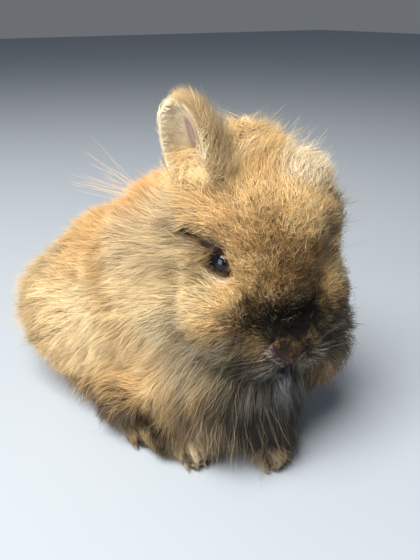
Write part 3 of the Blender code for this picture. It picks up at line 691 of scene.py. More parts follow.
# Where the hairs' dark bases show between pale tips, in small patches.
FLECK_SHARP, FLECK_SHOWN, FLECK_DARKENS = 0.9, 0.25, (0.45, 0.55, 0.68)
FLECKS = [
    # axes, both sides, place, radii, strength
    (head, 0, (4, -20, 10), (30, 19, 19), 0.95),
    (head, 0, (0, -26, -8), (32, 16, 14), 0.9),
    (head, 1, (28, -14, -30), (24, 24, 18), 0.8),
    (head, 0, (0, 14, 34), (30, 20, 20), 0.45),
    (body, 0, (-30, 20, 80), (60, 70, 50), 0.40),
    (body, 0, (-20, -20, 20), (80, 90, 36), 0.55),
]


WAVES, WAVE_HEIGHT = 7, 3.4


def wander(points, size, seed):
    """A smooth wavering value from -1 to 1 with features of about the given size."""
    waves = np.random.default_rng(seed)
    total = np.zeros(len(points))
    for _ in range(WAVES):
        heading = waves.normal(size=3)
        heading *= 2 * math.pi / (size * MM * waves.uniform(0.7, 1.7)) / np.linalg.norm(heading)
        total += np.sin(points @ heading + waves.uniform(0, 2 * math.pi))
    return total / WAVE_HEIGHT


def spread(points, row, ragged):
    """How far each point is inside the row's soft-edged ellipsoid, from 0 to 1."""
    axes, both, place, radii = row[:4]
    most = np.zeros(len(points))
    for sign in (1, -1) if both else (1,):
        middle = np.array((sign * place[0], place[1], place[2]))
        away = np.linalg.norm((local_to(axes, points) - middle) / np.array(radii), axis=1)
        most = np.maximum(most, smooth_step((1 - away * ragged) / SOFT_EDGE))
    return most


def markings_and_painted_shading(points, mottle=0):
    """The coat's colour and painted shading at each point; mottled, each hair takes a mark whole
    or not at all.
    """
    colour = np.tile(np.array(SAND), (len(points), 1))
    dice = np.random.default_rng(71)
    ragged = 1
    for size, seed, share in RAGGED:
        ragged = ragged + share * wander(points, size, seed)
    for row in MARKS_AND_PAINTED_SHADING:
        share = (spread(points, row, ragged) * row[5])[:, None]
        share = share * (1 - mottle) + (dice.random(share.shape) < share) * mottle
        colour = colour * (1 - share) + np.array(row[4]) * share
    # Painted shade along the crease behind each eye.
    share = np.zeros((len(points), 1))
    for begin, end, half, *_ in clefts[:CREASE_RUNS]:
        away = np.linalg.norm(from_line(points, begin, end), axis=1) / MM
        share[:, 0] = np.maximum(share[:, 0], np.exp(-((away / (half * CREASE_REACH)) ** 2)))
    share *= 1 - CREASE_VARIES * mottle * dice.random(share.shape)
    colour = colour * (1 - share) + np.array(CREASE_SHADE) * share
    patchy = wander(points, 7, 21) + 0.8 * wander(points, 3, 22)
    patchy = smooth_step(patchy * FLECK_SHARP + FLECK_SHOWN)
    for row in FLECKS:
        share = (spread(points, row, ragged) * row[4] * patchy)[:, None]
        colour = colour * (1 - share * FLECK_DARKENS)
    cloud = 1
    for size, seed, share in CLOUDS:
        cloud = cloud + share * wander(points, size, seed)
    return colour * cloud[:, None]


LID_MARGIN_AND_FOLD_SHADE, FOLD_SPREADS = tone(50, 35, 33), 1.3
MARGIN_OUT, MARGIN_FADES, MARGIN_FRONT = 1.35, 0.15, 2
MARGIN_LOWEST, MARGIN_LOW_FADES = 5.2, 1.5


def folded(points, colour):
    """The skin's colour with the lid margins' bare mauve brown and folds' painted shade laid in.
    """
    for side in ("left", "right"):
        local = local_to(eye_axes[side], points)
        share = smooth_step((MARGIN_OUT - oval(local)) / MARGIN_FADES)
        share = share * smooth_step(local[:, 2] - MARGIN_FRONT)
        share *= smooth_step((local[:, 1] + MARGIN_LOWEST) / MARGIN_LOW_FADES)
        colour = colour * (1 - share[:, None]) + np.array(LID_MARGIN_AND_FOLD_SHADE) * share[:, None]
    # In the folds the bare skin takes this dark colour as painted shade.
    for begin, end, half, *_ in clefts[:fold_count]:
        away = np.linalg.norm(from_line(points, begin, end), axis=1) / MM
        share = np.exp(-((away / (half * FOLD_SPREADS)) ** 4))[:, None]
        colour = colour * (1 - share) + np.array(LID_MARGIN_AND_FOLD_SHADE) * share
    return colour


# A trace of painted shade at each ear's foot, where it meets the head.
EAR_FOOT_TALL, EAR_FOOT_SHADE = 9, (0.45 * 0.05, 0.58 * 0.05, 0.7 * 0.05)


def ear_colours_and_foot_shade(local, inside):
    """Gold outside, cream inside, and a trace of painted shade at the foot."""
    colour = np.tile(np.array(EAR_GOLD), (len(local), 1))
    cream = inside[:, None]
    colour = colour * (1 - cream) + np.array(EAR_CREAM) * cream
    foot_shade = smooth_step((EAR_FOOT_TALL - local[:, 2]) / EAR_FOOT_TALL)[:, None] * (1 - cream)
    return colour * (1 - foot_shade * EAR_FOOT_SHADE)


def paint(mesh, colours):
    """Stores one colour for each point of the mesh, which the materials read."""
    layer = mesh.color_attributes.new(name="hue", type="FLOAT_COLOR", domain="POINT")
    full = np.ones((len(colours), 4), np.float32)
    full[:, :3] = colours
    layer.data.foreach_set("color", full.ravel())


def new_material(name, roughness):
    mat = bpy.data.materials.new(name)
    mat.use_nodes = True
    shader = mat.node_tree.nodes["Principled BSDF"]
    shader.inputs["Roughness"].default_value = roughness
    return mat, mat.node_tree, shader


def node(tree, kind, **values):
    made = tree.nodes.new(kind)
    for key, value in values.items():
        if key in made.inputs:
            made.inputs[key].default_value = value
        else:
            setattr(made, key, value)
    return made


def tinted(tree, factor, colour, low, high):
    """The colour times a grey that runs from low to high as the factor runs from 0 to 1."""
    grey = node(tree, "ShaderNodeMapRange")
    grey.inputs["To Min"].default_value = low
    grey.inputs["To Max"].default_value = high
    tree.links.new(factor, grey.inputs["Value"])
    times = node(tree, "ShaderNodeMix", data_type="RGBA", blend_type="MULTIPLY")
    times.inputs[0].default_value = 1
    tree.links.new(colour, times.inputs[6])
    tree.links.new(grey.outputs["Result"], times.inputs[7])
    return times.outputs[2]


def grained_material(name, roughness, scale, low, high, rise):
    """A surface in its painted hue, with a fine grain from low to high that can raise it."""
    mat, tree, shader = new_material(name, roughness)
    hue = node(tree, "ShaderNodeAttribute", attribute_name="hue")
    place = node(tree, "ShaderNodeTexCoord")
    grain = node(tree, "ShaderNodeTexNoise", Scale=scale, Detail=4.0)
    tree.links.new(place.outputs["Object"], grain.inputs["Vector"])
    tree.links.new(
        tinted(tree, grain.outputs["Fac"], hue.outputs["Color"], low, high),
        shader.inputs["Base Color"])
    if rise:
        raised = node(tree, "ShaderNodeBump", Strength=0.5, Distance=rise)
        tree.links.new(grain.outputs["Fac"], raised.inputs["Height"])
        tree.links.new(raised.outputs["Normal"], shader.inputs["Normal"])
    return mat


# The hide's grain makes it darker than the coat, partly as underwool and partly as painted shade
# deep in the coat.
hide_look_with_shade = grained_material(
    "wool_over_hide_with_shade", roughness=0.85, scale=900.0, low=0.55, high=0.95, rise=0.0005)

# ---------------------------------------------------------------- the coat
# The coat is fine tapering tufts rooted in the hide. They leave it at the root, lie along the
# body at the coat's depth in locks that share a tip, and a few finer ones stand off it.
PATCH, PATCH_BASE = 0.003, ((0, 0), (0.33, 0), (0.16, 0.1))
STEPS = (0.0, 0.45, 1.0)
ROOT_SINK, SHALLOWEST, FLOOR_CLEARANCE = 0.35, 0.4, 0.4
SIDES = 3
COAT_SHARE = 0.92
random = np.random.default_rng(65)


def triangles_of(mesh):
    """Each triangle's three points, three loops and its face."""
    mesh.calc_loop_triangles()
    count = len(mesh.loop_triangles)
    found = []
    for name, width in (("vertices", 3), ("loops", 3), ("polygon_index", 1)):
        values = np.empty(count * width, np.int32)
        mesh.loop_triangles.foreach_get(name, values)
        found.append(values.reshape(-1, width) if width > 1 else values)
    return found


def lengths(vectors):
    return np.maximum(np.linalg.norm(vectors, axis=-1, keepdims=True), 1e-12)


UNWRAP_ANGLE, LIE_EVENING = math.radians(66), 2


class Skin:
    """A skin's mesh as arrays, with the hair's growth at each of its points."""

    def __init__(self, obj, growth, lie, kinds):
        self.obj, self.growth = obj, growth
        self.points, self.normals = points_of(obj.data), normals_of(obj.data)
        lie = lie - self.normals * (lie * self.normals).sum(axis=1, keepdims=True)
        lie = evened(lie / lengths(lie), ends_of(obj.data), LIE_EVENING)
        self.lie = lie / lengths(lie)
        self.triangles, self.loops, faces = triangles_of(obj.data)
        self.tree = tree_of(self.points)
        self.kind = kinds[self.triangles[:, 0]]
        self.face_kind = np.zeros(len(obj.data.polygons), np.int32)
        self.face_kind[faces] = self.kind

    def unwrapped(self, kinds):
        """An unwrap of the skin in which each kind's part fills the whole square."""
        if "OFBake" not in self.obj.data.uv_layers:
            self.obj.data.uv_layers.new(name="OFBake")
        for kind in kinds:
            only(self.obj)
            self.obj.data.polygons.foreach_set("select", self.face_kind == kind)
            bpy.ops.object.mode_set(mode="EDIT")
            bpy.ops.mesh.select_mode(type="FACE")
            bpy.ops.uv.smart_project(angle_limit=UNWRAP_ANGLE, island_margin=0.004)
            bpy.ops.object.mode_set(mode="OBJECT")
        found = np.empty(len(self.obj.data.loops) * 2)
        self.obj.data.uv_layers["OFBake"].data.foreach_get("uv", found)
        return found.reshape(-1, 2)[self.loops]

    def sown(self):
        """Roots scattered over the skin as thickly as the growth there says."""
        corners = self.points[self.triangles]
        sides = corners[:, 1:] - corners[:, :1]
        area = np.linalg.norm(np.cross(sides[:, 0], sides[:, 1]), axis=1) / 2
        density = self.growth[self.triangles].mean(axis=1)[:, DENSITY] / MM**2
        count = random.poisson(area * density * COAT_SHARE)
        home = np.repeat(np.arange(len(count)), count)
        first, second = random.random((2, len(home)))
        over = first + second > 1
        first[over], second[over] = 1 - first[over], 1 - second[over]
        weights = np.stack([1 - first - second, first, second], axis=1)
        return home, weights

    def at(self, values, home, weights):
        return (values[self.triangles[home]] * weights[:, :, None]).sum(axis=1)


RISE, SHORTEST_RUN = 1.8, 0.25
SKIN_BELOW, LIE_BELOW = 0.6, 0.6


def combed(skin, roots, normals, lies, length, depth, cling):
    """The path of each hair: off the skin at its root, then along it at the coat's depth.

    Where the skin turns away, a hair follows it only as far as it clings.
    """
    run = np.sqrt(np.maximum(length**2 - depth**2, (SHORTEST_RUN * length) ** 2))
    path = [roots - normals * ROOT_SINK * MM]
    here, along = roots, lies
    for start, end in zip(STEPS[:-1], STEPS[1:]):
        here = here + along * (run * (end - start))[:, None]
        under = nearest(skin.tree, here)
        normal = skin.normals[under] * SKIN_BELOW + normals * (1 - SKIN_BELOW)
        normal /= lengths(normal)
        height = ((here - skin.points[under]) * normal).sum(axis=1)
        target = depth * (1 - (1 - end) ** RISE)
        lift = target - height
        here = here + normal * np.where(lift > 0, lift, lift * cling)[:, None]
        turned = lies * (1 - LIE_BELOW * cling) + skin.lie[under] * LIE_BELOW * cling
        along = turned - normal * (turned * normal).sum(axis=1, keepdims=True)
        along /= lengths(along)
        path.append(here)
    return np.stack(path, axis=1)


def locked(roots, size):
    """The hairs' locks: which leader each hair is nearest to, and the leaders."""
    leaders = np.arange(0, len(roots), size)
    return nearest(tree_of(roots[leaders]), roots), leaders


# Hairs gather in locks, and locks in sheaves that part from one another.
LOCK_HAIRS, SHEAF_HAIRS, LOCK_SWAYS = 11, 70, 0.20
PARTING, BODY_PARTING, SHEAF_SINKS, SHEAF_STANDS = 0.16, 0.28, 0.96, 0.75
HAIR_LENGTHS, LOCK_LENGTHS, HAIR_WIDTHS = (0.75, 1.1), (0.8, 1.12), (0.8, 1.2)
FULL_DEPTH, HAIR_DEPTHS, LOCK_DEPTHS, STEEPEST = 1.1, (0.7, 1.1), (0.75, 1.1), 0.85
LOCK_PULLS, PULL_GROWS, TIPS_MEET = (0.5, 1.2), 1.3, 0.7
STRAY_DEPTHS, STRAY_CURLS, STRAY_PULL, STRAY_WIDTH = (1.15, 1.6), 1.6, 0.1, 0.6


def lay_coat(skin, home, weights, cling, frizz, pull, stray, parting=PARTING):
    """The hairs' paths, gathered into locks, with a share of strays that stand off them."""
    count = len(home)
    roots = skin.at(skin.points, home, weights)
    normals = skin.at(skin.normals, home, weights)
    normals /= lengths(normals)
    sizes = skin.at(skin.growth, home, weights)
    lies = skin.at(skin.lie, home, weights)
    lock, leaders = locked(roots, LOCK_HAIRS)
    sheaf, heads = locked(roots, SHEAF_HAIRS)
    lies = lies + random.normal(size=(count, 3)) * frizz
    lies += random.normal(size=(len(leaders), 3))[lock] * LOCK_SWAYS
    lies += random.normal(size=(len(heads), 3))[sheaf] * parting
    lies -= normals * (lies * normals).sum(axis=1, keepdims=True)
    lies /= lengths(lies)
    loose = random.random(count) < stray
    length = sizes[:, LENGTH] * MM * random.uniform(*HAIR_LENGTHS, count)
    length *= random.uniform(*LOCK_LENGTHS, len(leaders))[lock]
    depth = np.maximum(sizes[:, DEPTH] * FULL_DEPTH + sizes[:, OVER], SHALLOWEST) * MM
    sheaf_depths = SHEAF_SINKS - parting, 1.0 + parting * SHEAF_STANDS
    depth *= random.uniform(*sheaf_depths, len(heads))[sheaf]
    depth *= random.uniform(*LOCK_DEPTHS, len(leaders))[lock] * random.uniform(*HAIR_DEPTHS, count)
    depth = np.where(loose, depth * random.uniform(*STRAY_DEPTHS, count), depth)
    depth = np.minimum(depth, length * STEEPEST)
    path = combed(skin, roots, normals, lies, length, depth, cling)
    curl = sizes[:, CURL] * MM * np.where(loose, STRAY_CURLS, 1.0)
    lock_pull = pull * random.uniform(*LOCK_PULLS, len(leaders))[lock]
    pull = np.where(loose, STRAY_PULL, lock_pull)
    for number, share in enumerate(STEPS[1:], start=1):
        tip = path[leaders[lock], number]
        held = (pull * share**PULL_GROWS)[:, None]
        apart = (roots - roots[leaders[lock]]) * (1 - TIPS_MEET * share)
        path[:, number] = path[:, number] * (1 - held) + (tip + apart) * held
        path[:, number] += random.normal(size=(count, 3)) * (curl * 0.5)[:, None]
    path[:, :, 2] = np.maximum(path[:, :, 2], FLOOR_CLEARANCE * MM)
    width = sizes[:, WIDTH] * MM * np.where(loose, STRAY_WIDTH, 1.0)
    width = width * random.uniform(*HAIR_WIDTHS, count)
    return path, roots, normals, width, lock, loose


ROOT_TAPER, TIP_TAPER, TAPER_GROWS = 0.8, 0.5, 1.5
SHADED_AS_SKIN, SHADED_ROUND = 0.65, 0.55


def tufts(name, path, width, steps, base, tip, patch, facing):
    """One closed three-sided spike for each path, all in one piece of the coat."""
    count, rings = len(path), len(steps) - 1
    along = path[:, 1:] - path[:, :-1]
    along = np.concatenate([along, along[:, -1:]], axis=1)
    along /= lengths(along)
    aside = np.cross(along, random.normal(size=(count, 1, 3)))
    aside /= lengths(aside)
    other = np.cross(along, aside)
    taper = [ROOT_TAPER] + [1 - TIP_TAPER * share**TAPER_GROWS for share in steps[1:-1]]
    each = rings * SIDES + 1
    points = np.empty((count, each, 3), np.float32)
    turned = np.empty((count, each, 3), np.float32)
    colours = np.empty((count, each, 3), np.float32)
    for ring in range(rings):
        ring_colour = base * (1 - steps[ring]) + tip * steps[ring]
        for side in range(SIDES):
            angle = 2 * math.pi * side / SIDES
            out = aside[:, ring] * math.cos(angle) + other[:, ring] * math.sin(angle)
            spot = ring * SIDES + side
            points[:, spot] = path[:, ring] + out * (width * taper[ring] / 2)[:, None]
            turned[:, spot] = facing * SHADED_AS_SKIN + out * SHADED_ROUND
            colours[:, spot] = ring_colour
    points[:, -1] = path[:, -1]
    turned[:, -1] = facing
    colours[:, -1] = tip
    faces, uvs = [], []
    for ring in range(rings - 1):
        low, high = steps[ring], steps[ring + 1]
        for side in range(SIDES):
            a, b = ring * SIDES + side, ring * SIDES + (side + 1) % SIDES
            left, right = side / SIDES, (side + 1) / SIDES
            faces += [(a, b, b + SIDES), (a, b + SIDES, a + SIDES)]
            uvs += [
                ((left, low), (right, low), (right, high)),
                ((left, low), (right, high), (left, high)),
            ]
    last = (rings - 1) * SIDES
    for side in range(SIDES):
        left, right = side / SIDES, (side + 1) / SIDES
        faces.append((last + side, last + (side + 1) % SIDES, last + SIDES))
        uvs.append(((left, steps[-2]), (right, steps[-2]), ((left + right) / 2, 1.0)))
    faces.append((0, 2, 1))
    uvs.append(PATCH_BASE)
    faces, uvs = np.array(faces, np.int32), np.array(uvs, np.float32)
    starts = np.arange(count, dtype=np.int32)[:, None, None] * each
    corners = (faces[None] + starts).reshape(-1, 3)
    mesh = bpy.data.meshes.new(name)
    mesh.vertices.add(count * each)
    mesh.vertices.foreach_set("co", points.ravel())
    mesh.loops.add(corners.size)
    mesh.loops.foreach_set("vertex_index", corners.ravel())
    mesh.polygons.add(len(corners))
    mesh.polygons.foreach_set("loop_start", np.arange(0, corners.size, 3, dtype=np.int32))
    mesh.update(calc_edges=True)
    mesh.polygons.foreach_set("use_smooth", np.ones(len(corners), bool))
    layer = mesh.uv_layers.new(name="OFBake")
    spots = patch[:, None, None, :] + uvs[None] * PATCH
    layer.data.foreach_set("uv", spots.astype(np.float32).ravel())
    paint(mesh, colours.reshape(-1, 3))
    turned = turned.reshape(-1, 3)
    mesh.normals_split_custom_set_from_vertices(turned / lengths(turned))
    obj = bpy.data.objects.new(name, mesh)
    bpy.context.scene.collection.objects.link(obj)
    obj.data.materials.append(coat_look)
    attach(obj, "root")


LOCK_SHADES, SHADE_LIMITS = 0.12, (0.5, 1.5)
PALE_HUE, PALE_SHARE, PALE_FROM, PALE_MOST = tone(236, 208, 160), 0.28, 0.03, 0.8


def hair_colours(hue, lock, loose, dark_and_shaded_base, pale_tip, vary):
    """Each hair's colour at its base and tip, the base darkened partly as painted shade: locks and
    hairs vary, and strays are pale.
    """
    count = len(hue)
    shade = random.normal(1, LOCK_SHADES, lock.max() + 1)[lock] * random.normal(1, vary, count)
    shade = np.clip(shade, *SHADE_LIMITS)[:, None]
    base = hue * shade * dark_and_shaded_base
    tip = hue * shade * pale_tip
    pale = (random.random(count) < vary)[:, None] | loose[:, None]
    bright = np.clip(tip.mean(axis=1, keepdims=True) * 2 + PALE_FROM, 0, PALE_MOST)
    lifted = tip * (1 - PALE_SHARE) + np.array(PALE_HUE) * PALE_SHARE * bright
    return base, np.where(pale, lifted, tip)


def fur_material(name):
    mat, tree, shader = new_material(name, roughness=0.75)
    hue = node(tree, "ShaderNodeAttribute", attribute_name="hue")
    place = node(tree, "ShaderNodeTexCoord")
    fleck = node(tree, "ShaderNodeTexNoise", Scale=220.0, Detail=2.0)
    tree.links.new(place.outputs["Object"], fleck.inputs["Vector"])
    tree.links.new(
        tinted(tree, fleck.outputs["Fac"], hue.outputs["Color"], 0.85, 1.15),
        shader.inputs["Base Color"])
    shader.inputs["Sheen Weight"].default_value = 0.12
    shader.inputs["Sheen Roughness"].default_value = 0.5
    shader.inputs["Specular IOR Level"].default_value = 0.12
    return mat


BODY_MIDDLE, SWAY, SWAY_SIZE = -8, 0.28, 26
coat_look = fur_material("soft_fur")
hide_points = points_of(hide.data)
hide_growth, hide_kind = grown(hide_points)
pieces = []
point_piece = np.zeros(len(hide_points), np.int32)
for number, kind in enumerate(growth_kinds):
    if kind in (FACE, CHEEK, MANE):
        on_left = local_to(head, hide_points)[:, 0] > 0
    else:
        on_left = hide_points[:, 0] > BODY_MIDDLE * MM
    halves = (("_left", on_left), ("_right", ~on_left)) if kind in SPLIT else (("", True),)
    for side, where in halves:
        mine = (hide_kind == number) & where
        point_piece[mine] = len(pieces)
        pieces.append(kind + side)
lie = hide_growth[:, LIE]
sway = np.stack([wander(hide_points, SWAY_SIZE, seed) for seed in (11, 12, 13)], axis=1)
lie = lie / lengths(lie) + SWAY * sway
hide_skin = Skin(hide, hide_growth, lie, point_piece)


CLEFT_NEAR, EYE_NEAR, EYE_FRONT = 22, 20, 3
OVAL_BARE_AT_ROOT, OVAL_BARE = 1.14, 1.04


def crossing_bare(path):
    """Which hairs would grow in or cross an eye's opening or a cleft of the skin."""
    crossing = np.zeros(len(path), bool)
    between = [path[:, 1:] * share + path[:, :-1] * (1 - share) for share in (0.25, 0.5, 0.75)]
    spots = np.concatenate([path, *between], axis=1)
    for begin, end, half, sink, bare, over in clefts:
        far = np.linalg.norm(path[:, 0] - (begin + end) / 2, axis=1)
        close = np.flatnonzero(far < CLEFT_NEAR * MM)
        for step in range(spots.shape[1]):
            away = from_line(spots[close, step], begin, end) / MM
            height = away @ over
            beside = np.linalg.norm(away - height[:, None] * over, axis=1)
            crossing[close] |= (beside < bare) & (np.abs(height) < FOLD_TALL)
    for side in ("left", "right"):
        for step in range(path.shape[1]):
            local = local_to(eye_axes[side], path[:, step])
            inside = oval(local) < (OVAL_BARE if step else OVAL_BARE_AT_ROOT)
            inside &= local[:, 2] > EYE_FRONT
            crossing |= inside & (np.linalg.norm(local, axis=1) < EYE_NEAR)
    return crossing


NOSE_PLACE, NOSE_RADII, NOSE_COVERS = (-2.0, -30.3, -30.8), (10.2, 4.3, 7.0), 0.9


def on_nose(points):
    local = (local_to(head, points) - np.array(NOSE_PLACE)) / np.array(NOSE_RADII)
    return np.linalg.norm(local, axis=1) < NOSE_COVERS


MOTTLE, SOFT_MOTTLE = 0.6, 0.25
# Each kind's way to lie: how far it clings to the hide, how widely its hairs' headings
# differ, how hard its locks pull, its share of strays, how dark the hair's base is, partly
# its own darker underfur and partly painted shade deep in the coat, and how pale its tip, how
# much its hairs differ in shade, how widely its sheaves part, how much of a mark's edge is
# mixed hair by hair, and its slot.
WAYS = {
    FACE: (1.0, 0.65, 0.14, 0.16, 0.36, 1.30, 0.38, PARTING, MOTTLE, "face_fur"),
    CHEEK: (0.8, 0.26, 0.45, 0.12, 0.50, 1.22, 0.22, PARTING, MOTTLE, "face_fur"),
    MANE: (0.5, 0.22, 0.36, 0.15, 0.68, 1.12, 0.17, PARTING, MOTTLE, "mane_fur"),
    RUFF: (0.4, 0.16, 0.45, 0.12, 0.70, 1.12, 0.15, BODY_PARTING, SOFT_MOTTLE, "chest_fur"),
    CHEST: (0.3, 0.17, 0.28, 0.12, 0.80, 1.05, 0.10, BODY_PARTING, SOFT_MOTTLE, "chest_fur"),
    BACK: (0.9, 0.20, 0.50, 0.10, 0.65, 1.14, 0.15, PARTING, MOTTLE, "back_fur"),
    RUMP: (0.4, 0.20, 0.70, 0.20, 0.60, 1.14, 0.15, BODY_PARTING, MOTTLE, "flank_fur"),
    FLANK: (0.5, 0.20, 0.64, 0.12, 0.60, 1.14, 0.15, BODY_PARTING, MOTTLE, "flank_fur"),
    SHOULDER: (0.6, 0.20, 0.58, 0.10, 0.60, 1.14, 0.15, BODY_PARTING, MOTTLE, "back_fur"),
    FOOT: (1.0, 0.15, 0.35, 0.06, 0.70, 1.10, 0.12, BODY_PARTING, MOTTLE, "foot_fur"),
}
STREAKS, STREAK_WIDTH, STREAK_STRETCH = 0.2, 2.6, 0.82


def streaks(roots, path):
    """Dark and pale streaks that run the way the piece's hair lies, from -1 to 1."""
    grain = (path[:, -1] - path[:, 0]).mean(axis=0)
    grain /= np.linalg.norm(grain)
    squeezed = roots - STREAK_STRETCH * (roots @ grain)[:, None] * grain
    return np.clip(wander(squeezed, STREAK_WIDTH, 41), -1, 1)


home, weights = hide_skin.sown()
unwrap = hide_skin.unwrapped(range(len(pieces)))
for number, piece in enumerate(pieces):
    mine = np.flatnonzero(hide_skin.kind[home] == number)
    if not len(mine):
        continue
    kind = piece.split("_")[0]
    cling, frizz, pull, stray, dark_and_shaded_base, pale_tip, vary, parting, mottle, slot = WAYS[kind]
    path, roots, normals, width, lock, loose = lay_coat(
        hide_skin, home[mine], weights[mine], cling, frizz, pull, stray, parting)
    patch = (unwrap[home[mine]] * weights[mine][:, :, None]).sum(axis=1)
    hue = markings_and_painted_shading(roots, mottle) * (1 + STREAKS * streaks(roots, path))[:, None]
    base, tip = hair_colours(hue, lock, loose, dark_and_shaded_base, pale_tip, vary)
    keep = ~crossing_bare(path) & ~on_nose(roots)
    tufts(
        "coat_" + piece, path[keep], width[keep], STEPS, base[keep], tip[keep],
        patch[keep], normals[keep])

# The ears' own hair: long and golden outside, fine and cream inside, with a bare channel up
# the cup that tapers to the tip. The rear rim's hair is short, the foot's runs into the mane.
CUP_MIDDLE, CUP_EDGE, TIP_EDGE = (0, 4), 0.5, 0.5
RIM_FROM, RIM_FADES, RIM_TALL = 0.35, 0.2, 0.25
CHANNEL_HALF, CHANNEL_EDGE, CHANNEL_TOP, CHANNEL_TAPERS, CHANNEL_FADES = 0.34, 0.10, 3, 16, 8
REAR_FROM, REAR_FADES, REAR_SHALLOW, REAR_SHORT = 0.15, 0.3, 0.6, 0.5
OUTSIDE_DEPTH, OUTSIDE_LENGTH = (2.8, 5.5, 3.2), (9.5, 9, 4)  # all over, foot, front
INSIDE_DEPTH, INSIDE_LENGTH = 1.0, 4.0
EAR_CURL, EAR_HAIR = (0.5, 0.3), (0.19, 0.03)  # outside, and how much less inside
EAR_DENSITY = (3.8, 7.0)  # outside, inside
EAR_LIE, EAR_LIE_OUT, EAR_LIE_IN = (0.15, 0.1, 1.0), 0.35, (0.9, 1.3)
for side, skin_obj in ear_skins.items():
    axes = ears[side]
    near_side = side == "right"
    local = local_to(axes, points_of(skin_obj.data))
    facing = normals_of(skin_obj.data) @ np.array(axes)[:3, :3]
    # The inner face looks back at the cup's own middle line.
    middle = local[:, :2] + CUP_MIDDLE
    towards = -(facing[:, :2] * middle).sum(axis=1) / lengths(middle)[:, 0]
    inside = smooth_step(towards + CUP_EDGE)
    inside = inside * smooth_step((EAR_LENGTH - TIP_EDGE - local[:, 2]) / 2)
    across = local[:, 0] / (EAR_WIDTH / 2)
    rim = smooth_step((RIM_FROM - across) / RIM_FADES)
    rim = rim * smooth_step((np.abs(across) + local[:, 2] / EAR_LENGTH - 1.0) / RIM_TALL)
    narrowed = np.sqrt(np.clip((EAR_LENGTH - CHANNEL_TOP - local[:, 2]) / CHANNEL_TAPERS, 0, 1))
    channel = smooth_step((CHANNEL_HALF * narrowed - np.abs(across - 0.02)) / CHANNEL_EDGE)
    bare = inside * channel
    bare *= smooth_step((EAR_LENGTH - CHANNEL_TOP - 1 - local[:, 2]) / CHANNEL_FADES)
    rear = smooth_step((-REAR_FROM - across) / REAR_FADES)
    foot = np.clip(1 - local[:, 2] / EAR_LENGTH, 0, 1)
    short = np.clip(inside + rim, 0, 1)
    front = smooth_step(across / 0.6) * smooth_step(foot * 2.5)
    size = np.zeros((len(local), growth.shape[1]))
    for column, outside, within, at_rear in (
        (DEPTH, OUTSIDE_DEPTH, INSIDE_DEPTH, REAR_SHALLOW),
        (LENGTH, OUTSIDE_LENGTH, INSIDE_LENGTH, REAR_SHORT),
    ):
        long = outside[0] + outside[1] * foot + outside[2] * front
        size[:, column] = (1 - short) * long * (1 - at_rear * rear) + short * within
    size[:, CURL] = EAR_CURL[0] - EAR_CURL[1] * inside
    size[:, WIDTH] = EAR_HAIR[0] - EAR_HAIR[1] * inside
    density = (1 - inside) * EAR_DENSITY[0] + inside * EAR_DENSITY[1]
    size[:, DENSITY] = density * (1 - bare) * (1 if near_side else 0.5)
    lie = np.tile(np.array(EAR_LIE), (len(local), 1))
    lie[:, 0] += inside * EAR_LIE_IN[0] + (1 - short) * EAR_LIE_OUT
    lie[:, 2] -= inside * EAR_LIE_IN[1]
    lie = lie @ np.array(axes)[:3, :3].T
    skin = Skin(skin_obj, size, lie, np.zeros(len(local), np.int32))
    home, weights = skin.sown()
    unwrap = skin.unwrapped((0,))
    path, roots, normals, width, lock, loose = lay_coat(
        skin, home, weights, cling=0.15, frizz=0.2, pull=0.35, stray=0.10)
    patch = (unwrap[home] * weights[:, :, None]).sum(axis=1)
    cream = short * (1 if near_side else 0.4)
    cream_here = skin.at(cream[:, None], home, weights)[:, 0]
    hue = ear_colours_and_foot_shade(local_to(axes, roots), cream_here)
    base, tip = hair_colours(
        hue, lock, loose, dark_and_shaded_base=0.88, pale_tip=1.12, vary=0.10)
    keep = local_to(axes, roots)[:, 2] > 0.5
    for step in range(1, len(STEPS)):
        keep &= bare[nearest(skin.tree, path[:, step])] < 0.5
    tufts(
        "coat_ear_" + side, path[keep], width[keep], STEPS, base[keep], tip[keep],
        patch[keep], normals[keep])
    bare = bare[:, None]
    skin_hue = ear_colours_and_foot_shade(local, cream)
    paint(skin_obj.data, skin_hue * (1 - bare) + np.array(EAR_MAUVE) * bare)

# The hide and the ears' skins are one skin in one grained material.
hide_points = points_of(hide.data)
paint(hide.data, folded(hide_points, markings_and_painted_shading(hide_points)))
hide = joined("hide", [hide, *ear_skins.values()])
hide.data.materials.clear()
hide.data.materials.append(hide_look_with_shade)
only(hide)
hide.data.polygons.foreach_set("select", np.ones(len(hide.data.polygons), bool))
bpy.ops.object.mode_set(mode="EDIT")
bpy.ops.uv.smart_project(angle_limit=UNWRAP_ANGLE, island_margin=0.002)
bpy.ops.object.mode_set(mode="OBJECT")
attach(hide, "root")
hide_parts(*FLESH, *EARS)

# ---------------------------------------------------------------- the eyes
# Each eyeball is moist and dark brown, with a round pupil behind a clear cornea that
# stands a little proud; it sits in its lids and keeps its own place in the skull.
CORNEA_RISE, CORNEA_ANGLE = 0.45, 44
PUPIL_ANGLE, PUPIL_EDGE, IRIS_ANGLE, IRIS_EDGE = 30, 3, 54, 6
PUPIL_OUT, PUPIL_UP = 7, 6
IRIS_RAYS, RAYS_WAVER, RAY_DARK, RAY_PALER = 23, 7, 0.6, 0.7
IRIS, PUPIL, BALL = (0.046, 0.022, 0.013), (0.002, 0.004, 0.009), (0.012, 0.007, 0.006)
eye_look = grained_material(
    "moist_eye", roughness=0.05, scale=1500.0, low=0.6, high=1.4, rise=0)
shader = eye_look.node_tree.nodes["Principled BSDF"]
shader.inputs["Specular IOR Level"].default_value = 0.25
shader.inputs["Coat Weight"].default_value = 0.3
shader.inputs["Coat Roughness"].default_value = 0.03
